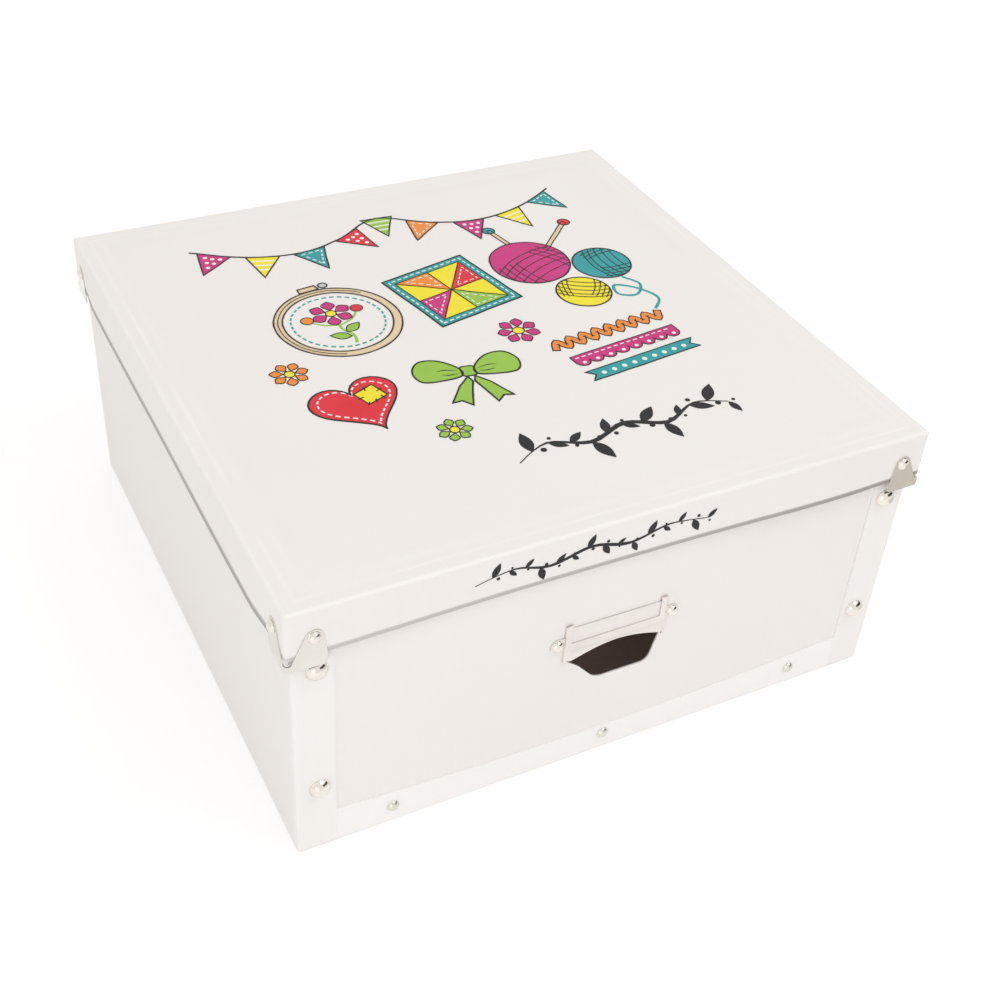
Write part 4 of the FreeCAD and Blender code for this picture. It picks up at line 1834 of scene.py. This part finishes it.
    @staticmethod
    def quilt(pen: Pen, spot: Spot) -> None:
        """Draws a quilt block of a pinwheel with a stitched border.

        Args:
            pen: What draws it.
            spot: Where it is.
        """
        outer, inner = spot(square(29)), spot(square(23.5))
        pen.fill(outer, Ink.TEAL, [inner])
        pen.stroke(outer, 1.1, closed=True)
        pen.dashes(spot(square(26.3)), Ink.CHALK, width=0.9)
        for number, ink in enumerate((Ink.RED, Ink.ORANGE, Ink.MAGENTA, Ink.LIME)):
            quarter = Spot(0, 0, 90 * number)
            pen.shape(spot(quarter([(0, 0), (23.5, 23.5), (0, 23.5)])), Ink.YELLOW, 0.7)
            pen.shape(spot(quarter([(0, 0), (23.5, 0), (23.5, 23.5)])), ink, 0.7)
            pen.dashes(spot(quarter([(6.4, 2.4), (21, 2.4), (21, 17)])), Ink.CHALK, width=0.7)

    def yarn(self, pen: Pen) -> None:
        """Draws three balls of yarn, two knitting needles and a loose end.

        Args:
            pen: What draws them.
        """
        self.needle(pen, (82, 66), (108, 92), Ink.RED)
        self.needle(pen, (62, 78.5), (58, 98), Ink.TEAL)
        self.ball(pen, Spot(64, 54), 24.5, Ink.MAGENTA)
        self.ball(pen, Spot(105, 38, 70), 18.0, Ink.TEAL)
        self.ball(pen, Spot(78, 12, 130), 16.5, Ink.YELLOW)
        end = smooth([(108, 19), (114, 8), (106, -2), (96, 2), (99, 12), (110, 4), (116, -10), (108, -20)])
        pen.stroke(end, 1.7, Ink.TEAL)

    @staticmethod
    def needle(pen: Pen, tail: Flat, head: Flat, ink: Ink) -> None:
        """Draws a knitting needle between two places, with a knob at its head."""
        pen.shape(Pen.ribbon([tail, head], 3.0), Ink.WOOD, 0.7)
        pen.shape(ring(3.8, *head), ink)

    @staticmethod
    def ball(pen: Pen, spot: Spot, radius: float, ink: Ink) -> None:
        """Draws a ball of yarn that is wound in three directions.

        Args:
            pen: What draws it.
            spot: Where it is.
            radius: Its radius.
            ink: Its ink.
        """
        pen.shape(spot(ring(radius)), ink, 1.0)
        winds = ((24, (-0.7, -0.48, -0.26, -0.04, 0.18), -8, 8), (96, (0.12, 0.36, 0.6, 0.82), -8, 1),
                 (-48, (0.3, 0.52, 0.74), -2, 8))
        for turn, offsets, first, last in winds:
            for offset in offsets:
                half = 0.97 * radius * math.sqrt(1 - offset * offset)
                bend = 0.24 * radius * (1 - abs(offset))
                wrap = [(half * s / 8, radius * offset + bend * (1 - s * s / 64))
                        for s in range(first, last + 1)]
                pen.stroke(spot(Spot(0, 0, turn)(wrap)), 0.65)

    @staticmethod
    def patch(pen: Pen, spot: Spot) -> None:
        """Draws a felt heart with a running stitch and a small sewn-on square.

        Args:
            pen: What draws it.
            spot: Where it is.
        """
        scrap = [(4, -4), (17, -1), (14.5, 11), (1.5, 8)]
        pen.fill(spot(heart(50)), Ink.RED, [spot(scrap)])
        pen.stroke(spot(heart(50)), 1.1, closed=True)
        pen.dashes(spot(heart(41)), Ink.CHALK, width=1.0)
        pen.shape(spot(scrap), Ink.YELLOW, 0.8)
        for x, y, turn in ((9, -3, 70), (14, -1.5, 100), (15.5, 5, 10), (9, 9.5, 80), (3, 3, 5),
                           (4, -3.5, 45)):
            stitch = Spot(x, y, turn)([(-1.8, 0), (1.8, 0)])
            pen.stroke(spot(stitch), 0.7)

    @staticmethod
    def bow(pen: Pen, spot: Spot) -> None:
        """Draws a ribbon tied in a bow.

        Args:
            pen: What draws it.
            spot: Where it is.
        """
        for side in (-1, 1):
            loop = [(4.5, 3.5), (13, 12.5), (24, 14), (30, 5), (27, -5), (15, -6), (4.5, -3.5)]
            tail = [(2, -5), (9, -13), (17, -27), (11.5, -26), (7, -31), (3.5, -19), (0.6, -10)]
            pen.shape(spot([(side * u, v) for u, v in smooth(loop, True)]), Ink.LIME, 1.0)
            pen.shape(spot([(side * u, v) for u, v in tail]), Ink.LIME, 1.0)
            for crease in (((6, 1.5), (12, 3.5), (17, 3)), ((6, -1.2), (11, -1.6), (15, -0.5))):
                pen.stroke(spot([(side * u, v) for u, v in smooth(crease)]), 0.7, taper=0.4)
        pen.shape(spot(rounded([(-4, -4.6, 1.6), (4, -4.6, 1.6), (4, 4.6, 1.6), (-4, 4.6, 1.6)])), Ink.LIME)

    @staticmethod
    def trims(pen: Pen, spot: Spot) -> None:
        """Draws three lengths of trim: a zigzag braid, a scalloped lace and a dotted ribbon.

        Args:
            pen: What draws them.
            spot: Where they are.
        """
        wave = smooth([(-38 + 4.5 * n, 20 + (3.4 if n % 2 else -3.4)) for n in range(18)])
        pen.shape(spot(Pen.ribbon(wave, 4.2)), Ink.ORANGE, 0.7)
        scallops = [point for n in range(8) for point in arc((-31.5 + 9 * n, 1), 4.5, 180, 360, 10)[:-1]]
        pen.shape(spot([*scallops, (36, 1), (36, 7), (-36, 7)]), Ink.MAGENTA, 0.7)
        for n in range(8):
            pen.fill(spot(ring(1.2, -31.5 + 9 * n, -0.4)), Ink.CHALK)
        pen.dashes(spot([(-34, 4.6), (34, 4.6)]), Ink.CHALK, closed=False)
        band = [(-37, -18), (37, -18), (33, -13.5), (37, -9), (-37, -9), (-33, -13.5)]
        pen.shape(spot(band), Ink.TEAL, 0.8)
        for n in range(9):
            pen.fill(spot(ring(1.5, -28 + 7 * n, -13.5)), Ink.CHALK)

    @staticmethod
    def daisy(pen: Pen, spot: Spot, ink: Ink) -> None:
        """Draws a small flower with seven petals.

        Args:
            pen: What draws it.
            spot: Where it is.
            ink: Ink of its petals.
        """
        for number in range(7):
            pen.shape(spot(petal(7.6, 5.8, 360 / 7 * number, 3.2, 1.3)), ink, 0.6)
        pen.shape(spot(ring(3.0)), Ink.YELLOW, 0.6)

    @staticmethod
    def vine(pen: Pen, stem: Sequence[Flat], width: float, leaf: float, step: float) -> None:
        """Draws a black stem with leaves on both sides.

        Args:
            pen: What draws it.
            stem: Its line.
            width: Width of the stem.
            leaf: Length of its leaves.
            step: Distance between the leaves.
        """
        pen.stroke(stem, width, taper=0.35)
        marks = evenly(stem, step)
        for number in range(1, len(marks)):
            (x0, y0), (x1, y1) = marks[number - 1], marks[number]
            lean = 54 if number % 2 else -54
            size = leaf * (0.78 + 0.22 * math.sin(1.9 * number))
            spot = Spot(x1, y1, math.degrees(math.atan2(y1 - y0, x1 - x0)) + lean)
            pen.fill(spot(petal(size, 0.42 * size)), Ink.BLACK)
            pen.fill(Spot(x1, y1, spot.turn - 1.7 * lean)(ring(0.1 * size, 0.36 * size, 0)), Ink.BLACK)


@dataclass
class LidCorners:
    """Stamped metal pieces bent round the upright corners of the lid: a low band that rises to two ears."""

    finishes: Finishes
    metal: float = 0.6 * MM
    bend: float = 1.9 * MM
    length: float = 20 * MM
    band: float = 4.3 * MM
    shoulder: float = 8.8 * MM
    notch: float = 2.4 * MM
    foot: float = 2 * MM
    rivet_inset: float = 14 * MM
    lid: Block = field(default_factory=lambda: Block.of("lid_sheet"))
    rivets: Block = field(default_factory=lambda: Block.of("lid_rivets_front_back"))

    def outline(self) -> list[Flat]:
        """Outline laid flat, with the bend at zero and one leg on each side of it.

        Returns:
            Its points.
        """
        low = Block.of("lid_corner_front_left").low.z
        high = Block.of("lid_corner_front_left").high.z
        centre = (self.rivet_inset + self.metal, (self.rivets.low.z + self.rivets.high.z) / 2)
        radius = high - centre[1]
        end = self.length + self.metal
        notch = (self.notch + self.metal, low + self.band)
        shoulder = (end, low + self.shoulder)
        start, finish = self.tangent(centre, radius, shoulder, 1), self.tangent(centre, radius, notch, -1)
        ear = arc(centre, radius, start, finish + 360, 16)
        leg = [*rounded([(0, low, 0), (end, low, self.foot), (*shoulder, 0.8 * MM), (*ear[0], 0)],
                        closed=False)[1:-1], *ear, notch]
        return [*leg, *[(-u, v) for u, v in reversed(leg)]]

    @staticmethod
    def tangent(centre: Flat, radius: float, start: Flat, side: int) -> float:
        """Angle in degrees where a line from a point touches a circle.

        Args:
            centre: Centre of the circle.
            radius: Its radius.
            start: The point.
            side: 1 to touch it on its left and -1 on its right.

        Returns:
            The angle.
        """
        away_x, away_y = start[0] - centre[0], start[1] - centre[1]
        angle = math.atan2(away_y, away_x) + side * math.acos(radius / math.hypot(away_x, away_y))
        return math.degrees(angle)

    def build(self) -> None:
        """Builds the four pieces."""
        names = ("front_left", "front_right", "back_right", "back_left")
        for number, name in enumerate(names):
            turn = Matrix.Rotation(math.radians(90) * number, 3, "Z")
            self.build_one(name, turn)

    def build_one(self, name: str, turn: Matrix) -> None:
        """Builds the piece at one corner.

        Args:
            name: Name of the corner.
            turn: Turn that brings the front left one there.
        """
        reach = self.lid.high.x + self.metal
        bend = self.bend

        def surface(u: float, v: float) -> Placed:
            """Outer surface of the bent piece.

            Args:
                u: Distance from the bend along the sheet.
                v: Height.

            Returns:
                The place and the outward direction.
            """
            if abs(u) >= bend:
                place = Vector((u, 0, v)) if u > 0 else Vector((0, -u, v))
                normal = Vector((0, -1, 0)) if u > 0 else Vector((-1, 0, 0))
            else:
                angle = math.radians(225 + 45 * u / bend)
                normal = Vector((math.cos(angle), math.sin(angle), 0))
                place = Vector((bend, bend, v)) + normal * bend
            return turn @ (place - Vector((reach, reach, 0))), turn @ normal

        skin = Skin()
        grid = [bend * step / 6 for step in range(-6, 7)]
        Blank(spaced(self.outline(), 1.0 * MM), (), 1.2 * MM, tuple(grid)).lay(skin, surface, self.metal)
        Piece("corner_" + name, Body.LID, Slot.CORNER, ("lid_corner_" + name,)).make(
            skin, (self.finishes.corner,), bevel=0.14 * MM)


@dataclass(frozen=True)
class Fasteners:
    """Copies of one turned metal part, all of which stand for one node."""

    name: str
    node: str
    body: Body
    shape: Turning
    places: tuple[Placed, ...]

    def build(self, finish: bpy.types.Material) -> None:
        """Builds the copies.

        Args:
            finish: Their finish.
        """
        skin = Skin()
        for point, outward in self.places:
            self.shape.add_to(skin, facing(point, outward))
        Piece(self.name, self.body, Slot.NICKEL, (self.node,)).make(skin, (finish,))


@dataclass
class Rivets:
    """Press-stud caps and small rivets, each with a domed head on a thin rim."""

    finishes: Finishes
    cap_height: float = 4.2 * MM
    cap_recess: float = 3.8 * MM
    cap_hollow: float = 0.7 * MM
    cap_rim: float = 0.5 * MM
    head_radius: float = 3.5 * MM
    head_height: float = 2.5 * MM
    rim: float = 0.3 * MM
    shank: float = 1.6 * MM
    tail: float = 2.7 * MM
    tail_height: float = 0.6 * MM
    washer: float = 0.4 * MM

    def cap(self) -> Turning:
        """Cap of a press stud, hollow behind its rim.

        Returns:
            Its turned shape.
        """
        recess, hollow = self.cap_recess, self.cap_hollow
        return Turning([(0, hollow, 0), (recess, hollow, 0), (recess, 0, 0), (CAP_RADIUS, 0, 0.12 * MM),
                        (CAP_RADIUS, self.cap_rim, 0.2 * MM),
                        (CAP_RADIUS - 0.35 * MM, self.cap_rim + 0.1 * MM, 0)], self.cap_height)

    def rivet(self, through: float) -> Turning:
        """Rivet with its head at height 0 and its tail closed inside.

        Args:
            through: Thickness of the sheets that it goes through.

        Returns:
            Its turned shape.
        """
        radius, closed = self.head_radius, -(through + self.washer)
        return Turning([(0, closed - self.tail_height, 0), (self.tail, closed - self.tail_height, 0.3 * MM),
                        (self.tail, closed, 0), (self.shank, closed, 0), (self.shank, 0, 0),
                        (radius, 0, 0.08 * MM), (radius, self.rim, 0.1 * MM),
                        (radius - 0.25 * MM, self.rim + 0.1 * MM, 0)], self.head_height)

    def build(self) -> None:
        """Builds every group of fasteners."""
        bright, dull = self.finishes.nickel, self.finishes.dull
        front, back = Vector((0, -1, 0)), Vector((0, 1, 0))
        left, right = Vector((-1, 0, 0)), Vector((1, 0, 0))
        caps = Block.of("press_stud_caps")
        stud_places = self.places(caps.inner(0, CAP_RADIUS), caps.inner(2, CAP_RADIUS),
                                  (front, back), caps.high.y - self.cap_height)
        Fasteners("stud_caps", "press_stud_caps", Body.BOX, self.cap(), stud_places).build(bright)
        for name, wall in (("front", front), ("back", back)):
            group = Block.of("base_rivets_" + name)
            outer = group.high.x - self.head_radius
            wall_y = max(abs(group.low.y), abs(group.high.y)) - self.head_height
            spots = self.places((-outer, 0, outer), (group.low.z + self.head_radius,), (wall,), wall_y)
            Fasteners(name + "_rivets", "base_rivets_" + name, Body.BOX, self.rivet(2 * SHEET),
                      spots).build(dull)
        pull = Block.of("pull_rivets")
        spots = self.places(pull.inner(0, self.head_radius), (pull.middle(2),), (front,),
                            -pull.low.y - self.head_height)
        Fasteners("card_pull_rivets", "pull_rivets", Body.BOX, self.rivet(SHEET + Pull.metal),
                  spots).build(bright)
        for node, walls, layers in (("lid_rivets_front_back", (front, back), 1),
                                    ("lid_rivets_sides", (left, right), 2)):
            group = Block.of(node)
            reach = group.high.y if walls[0] == front else group.high.x
            other = group.high.x if walls[0] == front else group.high.y
            outer = other - self.head_radius
            spots = self.places((-outer, outer), (group.low.z + self.head_radius,), walls,
                                reach - self.head_height)
            Fasteners(node.replace("lid_rivets", "corner_rivets"), node, Body.LID,
                      self.rivet(layers * SHEET + LidCorners.metal), spots).build(bright)

    @staticmethod
    def places(along: Sequence[float], heights: Sequence[float], walls: Sequence[Vector],
               reach: float) -> tuple[Placed, ...]:
        """Point and outward direction of each copy.

        Args:
            along: Places along the wall.
            heights: Heights over the floor.
            walls: Outward directions of the walls.
            reach: Distance of the walls from the middle.

        Returns:
            Every place on every wall.
        """
        found = []
        for wall in walls:
            run = Vector((1, 0, 0)) if abs(wall.y) > 0.5 else Vector((0, 1, 0))
            for place in along:
                for height in heights:
                    found.append((wall * reach + run * place + Vector((0, 0, height)), wall))
        return tuple(found)


@dataclass
class Pull:
    """Stamped pull: two side bars that hold the card, a bulging finger lip, and an ear at each side."""

    finishes: Finishes
    metal: float = 0.7 * MM
    half: float = 30.4 * MM
    bar: float = 4.2 * MM
    foot: float = 1.9 * MM
    crown: float = 1.8 * MM
    shelf: float = 1.38 * MM
    bar_run: float = 2.6 * MM
    bead: float = 0.32 * MM
    bead_below: float = 2.6 * MM
    bead_width: float = 0.45 * MM
    window: float = 90 * MM
    window_turn: float = 0.8 * MM
    lip_depth: float = 3.3 * MM
    fullest: float = 0.62
    edge_depth: float = 2.7 * MM
    cheek: float = 3.4 * MM
    cheek_run: float = 3.0 * MM
    arch_end: float = 2.1 * MM
    arch_middle: float = 8.1 * MM
    ear_radius: float = 4.2 * MM
    block: Block = field(default_factory=lambda: Block.of("pull_plate"))

    def outline(self) -> list[Flat]:
        """Outline of bars and lip, anticlockwise as seen from the front, about the pull's own middle.

        Returns:
            Its points.
        """
        inner, toe, turn = self.half - self.bar, self.half - self.foot, self.window_turn
        low, high = self.block.low.z, self.block.high.z
        corners = [(-self.half, low, 0.8 * MM), (-toe, low, 0)]
        arch = self.arch(toe, low)
        rest = [(toe, low, 0), (self.half, low, 0.8 * MM), (self.half, high, 1.5 * MM),
                (inner, high, 0.4 * MM), (inner, self.window, turn), (-inner, self.window, turn),
                (-inner, high, 0.4 * MM), (-self.half, high, 1.5 * MM)]
        return rounded([*corners, *[(x, z, 0) for x, z in arch], *rest])

    def arch(self, inner: float, low: float) -> list[Flat]:
        """Points of the lip's arched lower edge, from left to right.

        Args:
            inner: Half of its width.
            low: Height of the pull's foot.

        Returns:
            The points.
        """
        rise = self.arch_middle - self.arch_end
        radius = (inner * inner + rise * rise) / (2 * rise)
        spread = math.degrees(math.asin(inner / radius))
        centre = (0.0, low + self.arch_middle - radius)
        return arc(centre, radius, 90 + spread, 90 - spread, 32)

    def depth(self, x: float, z: float) -> float:
        """Depth of the outer skin over the front panel: rounded bars, and the lip below the window.

        Args:
            x: Place across, from the pull's own middle.
            z: Height.

        Returns:
            The depth.
        """
        across, full = abs(x), self.fullest
        top = self.half - self.crown
        if across > top:
            bar = self.crown * math.sqrt(max(0.0, 1 - ((across - top) / self.crown) ** 2))
        else:
            bar = self.crown - (self.crown - self.shelf) * smoothstep((top - across) / self.bar_run)
        sill = self.window - self.window_turn
        below = sill - z
        if below < 0 or across > self.half:
            return bar
        share = min(below / (sill - self.block.low.z), 1.0)
        swell = (self.lip_depth - self.shelf) * math.sin(math.pi * min(share, full) / (2 * full))
        swell -= (self.lip_depth - self.edge_depth) * smoothstep((share - full) / (1 - full))
        swell -= self.bead * math.exp(-((below - self.bead_below) / self.bead_width) ** 2)
        cheek = 1 - smoothstep((across - (self.half - self.cheek)) / self.cheek_run)
        return max(bar, (self.shelf + swell) * cheek)

    def surface(self, x: float, z: float) -> Placed:
        """Place and outward direction on the outer skin of bars and lip.

        Args:
            x: Place across, from the pull's own middle.
            z: Height.

        Returns:
            The place and the direction.
        """
        step = 0.05 * MM
        slope_x = (self.depth(x + step, z) - self.depth(x - step, z)) / (2 * step)
        slope_z = (self.depth(x, z + step) - self.depth(x, z - step)) / (2 * step)
        place = Vector((self.block.middle(0) + x, self.block.high.y - self.depth(x, z), z))
        return place, Vector((-slope_x, -1, -slope_z)).normalized()

    def build(self) -> None:
        """Builds the pull."""
        skin = Skin()
        edges = [self.half - step * self.crown / 6 for step in range(7)]
        columns = tuple(side * edge for side in (-1, 1) for edge in edges)
        Blank(spaced(self.outline(), 0.8 * MM), (), 0.8 * MM, columns).lay(skin, self.surface, self.metal)
        for side in (-1, 1):
            self.add_ear(skin, side)
        Piece("card_pull", Body.BOX, Slot.PULL, ("pull_plate",)).make(
            skin, (self.finishes.pull,), bevel=0.12 * MM)

    def add_ear(self, skin: Skin, side: int) -> None:
        """Adds the flat ear at one side, which its rivet goes through.

        Args:
            skin: What it is added to.
            side: -1 for the left and 1 for the right.
        """
        middle = self.block.middle(0)
        centre = (side * (self.block.high.x - middle - self.ear_radius), Block.of("pull_rivets").middle(2))
        inner = side * (self.half - 0.9 * MM)
        base = self.block.high.y - self.metal

        def surface(u: float, v: float) -> Placed:
            """Place and outward direction on the ear."""
            return Vector((middle + u, base, v)), Vector((0, -1, 0))

        start = -90 if side > 0 else 90
        round_end = arc(centre, self.ear_radius, start, start + 180, 24)
        neck = [(inner, round_end[-1][1]), (inner, round_end[0][1])]
        Blank([*round_end, *neck], (), 2 * MM).lay(skin, surface, self.metal - 0.05 * MM)


@dataclass
class LabelCard:
    """Blank card that stands in the holder, cut a little askew, with its upper edge curled forward."""

    finishes: Finishes
    short_left: float = 2.7 * MM
    short_right: float = 3.3 * MM
    curl: float = 0.25 * MM
    curl_height: float = 3.5 * MM
    held: float = 3 * MM
    free_run: float = 8 * MM

    def build(self) -> None:
        """Builds the card."""
        block = Block.of("label_card")
        middle = block.middle(0)
        half = block.high.x - middle
        thickness = block.high.y - block.low.y
        left_top, right_top = block.high.z - self.short_left, block.high.z - self.short_right

        def surface(u: float, v: float) -> Placed:
            """Front of the card, which curls forward near its upper edge.

            Args:
                u: Place across, from the card's own middle.
                v: Height.

            Returns:
                The place and the outward direction.
            """
            top = left_top + (right_top - left_top) * (u + half) / (2 * half)
            free = smoothstep((half - self.held - abs(u)) / self.free_run)
            out = self.curl * free * max(0.0, 1 - (top - v) / self.curl_height) ** 2
            return Vector((middle + u, block.low.y - out, v)), Vector((0, -1, 0))

        corners = [(-half, block.low.z, 0.3 * MM), (half, block.low.z, 0.3 * MM),
                   (half, right_top, 0.8 * MM), (-half, left_top, 0.8 * MM)]
        skin = Skin()
        Blank(spaced(rounded(corners), 1 * MM), (), 1 * MM).lay(skin, surface, thickness)
        Piece("blank_card", Body.LABEL, Slot.CARD, ("label_card",)).make(skin, (self.finishes.card,))


@dataclass
class InnerFittings:
    """Posts, sockets, backing rings and washers inside the sheets, kept as packed and given their finish."""

    finishes: Finishes
    nodes: tuple[str, ...] = (
        "press_stud_posts", "press_stud_sockets", "press_stud_backings", "base_rivet_washers",
        "pull_rivet_washers", "lid_rivet_washers_sides", "lid_rivet_washers_front_back")

    def build(self) -> None:
        """Gives each node its finish."""
        for node in self.nodes:
            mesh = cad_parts[node].data
            mesh.materials.clear()
            mesh.materials.append(self.finishes.inner)
            log.info("%s: kept as packed", node)


@dataclass(frozen=True)
class Studio:
    """Pale floor, soft light and the camera, which stands where the photograph's camera stood."""

    floor_half: float = 12.0
    floor_drop: float = 0.02 * MM
    floor_shade: Colour = (242, 242, 242)
    floor_glow: float = 0.25
    white: Colour = (255, 254, 253)
    sky_light: float = 0.85
    lit_point: Corner = (0, 0, 0.1)
    inner_warmth: Colour = (255, 205, 185)
    inner_power: float = 0.012
    inner_place: Corner = (-60 * MM, -60 * MM, 60 * MM)
    lens: float = 52.716
    eye: Corner = (-0.32802, -0.62313, 0.60707)
    across: Corner = (0.89057, -0.45105, 0.05859)
    down: Corner = (-0.24120, -0.57754, -0.77992)
    ahead: Corner = (0.38562, 0.68044, -0.62313)

    def build(self) -> None:
        """Builds the studio."""
        self.add_floor()
        self.add_world()
        self.add_lights()
        self.add_camera()
        bpy.context.scene.view_settings.view_transform = "Standard"

    @staticmethod
    def seen(tree: Tree) -> Socket:
        """1 for rays from the camera, from glossy surfaces and through clear ones, and 0 for others.

        Args:
            tree: The tree that uses it.

        Returns:
            The value.
        """
        path = tree.add("ShaderNodeLightPath").outputs
        either = tree.maths("MAXIMUM", path["Is Camera Ray"], path["Is Glossy Ray"])
        return tree.maths("MAXIMUM", either, path["Is Transmission Ray"])

    def add_floor(self) -> None:
        """Adds the floor, which keeps the shadow of the box."""
        mesh = bpy.data.meshes.new("floor")
        mesh.from_pydata([(x, y, 0) for x, y in square(self.floor_half)], [], [(0, 1, 2, 3)])
        material, tree = new_finish("pale_floor")
        glow = tree.maths("MULTIPLY", self.seen(tree), self.floor_glow)
        close_finish(tree, {"Base Color": linear(self.floor_shade), "Roughness": 0.9,
                            "Emission Color": linear(self.white), "Emission Strength": glow})
        mesh.materials.append(material)
        floor = bpy.data.objects.new("floor", mesh)
        bpy.context.scene.collection.objects.link(floor)
        floor.location.z = -self.floor_drop

    def add_world(self) -> None:
        """Makes the world plain white where it is seen and a little dimmer as a light."""
        world = bpy.data.worlds.new("studio")
        bpy.context.scene.world = world
        world.use_nodes = True
        tree = Tree(world.node_tree)
        strength = tree.span(self.seen(tree), self.sky_light, 1.0)
        sky = tree.add("ShaderNodeBackground", {"Color": linear(self.white), "Strength": strength})
        tree.add("ShaderNodeOutputWorld", {"Surface": sky.outputs[0]})

    def add_lights(self) -> None:
        """Adds the lamps, and two cards at the right that the metal mirrors.

        One lamp stands at the left and one overhead. The small one inside the box gives the dim warm light
        that its sheets let through.
        """
        self.add_lamp("left_lamp", (-1.0, -1.2, 0.45), 0.5, 2.2)
        self.add_lamp("overhead_lamp", (0.75, -0.85, 1.8), 0.7, 5.6)
        inside = bpy.data.lights.new("inner_lamp", "POINT")
        inside.energy = self.inner_power
        inside.color = linear(self.inner_warmth)[:3]
        inside.shadow_soft_size = 20 * MM
        holder = bpy.data.objects.new("inner_lamp", inside)
        holder.location = self.inner_place
        holder.visible_camera = False
        bpy.context.scene.collection.objects.link(holder)
        self.add_card("dark_card", (26, 23, 21),
                      [(0.55, -1.45, 0.62), (1.6, -0.1, 0.0), (1.6, -0.1, 0.6), (0.55, -1.45, 1.2)])
        self.add_card("grey_card", (226, 220, 213),
                      [(0.27, -0.7, 0.001), (0.9, -0.7, 0.001), (0.9, 0.3, 0.001), (0.27, 0.3, 0.001)])

    @staticmethod
    def add_card(name: str, shade: Colour, corners: Sequence[Corner]) -> None:
        """Adds a card that only shiny surfaces see.

        Args:
            name: Its name.
            shade: Its colour.
            corners: Its four corners.
        """
        mesh = bpy.data.meshes.new(name)
        mesh.from_pydata(corners, [], [(0, 1, 2, 3)])
        material, tree = new_finish(name)
        close_finish(tree, {"Base Color": linear(shade), "Roughness": 0.8})
        mesh.materials.append(material)
        card = bpy.data.objects.new(name, mesh)
        for kind in ("camera", "diffuse", "transmission", "shadow"):
            setattr(card, "visible_" + kind, False)
        bpy.context.scene.collection.objects.link(card)

    def add_lamp(self, name: str, place: Corner, size: float, energy: float) -> None:
        """Adds a soft round lamp that faces the box.

        Args:
            name: Its name.
            place: Where it is.
            size: Its width.
            energy: Its power in watts.
        """
        lamp = bpy.data.lights.new(name, "AREA")
        lamp.shape = "DISK"
        lamp.size = size
        lamp.energy = energy
        holder = bpy.data.objects.new(name, lamp)
        holder.location = place
        aim = Vector(self.lit_point) - holder.location
        holder.rotation_euler = aim.to_track_quat("-Z", "Y").to_euler()
        bpy.context.scene.collection.objects.link(holder)

    def add_camera(self) -> None:
        """Adds the camera at the photograph's viewing angle."""
        camera = bpy.data.cameras.new("camera")
        camera.sensor_width = 36
        camera.lens = self.lens
        holder = bpy.data.objects.new("camera", camera)
        turn = Matrix((Vector(self.across), -Vector(self.down), -Vector(self.ahead))).transposed().to_4x4()
        holder.matrix_world = Matrix.Translation(self.eye) @ turn
        bpy.context.scene.collection.objects.link(holder)
        bpy.context.scene.camera = holder


def main() -> None:
    """Builds the box and its studio, in order."""
    logging.basicConfig(level=logging.INFO, format="%(name)s: %(message)s")
    finishes = Finishes(Effects())
    lid = LidSheet(finishes)
    parts = (BodyShell(finishes), Panels(finishes), lid, LidPrint(finishes, lid), LidCorners(finishes),
             Rivets(finishes), Pull(finishes), LabelCard(finishes), InnerFittings(finishes), Studio())
    for part in parts:
        part.build()


if __name__ == "__main__":
    main()
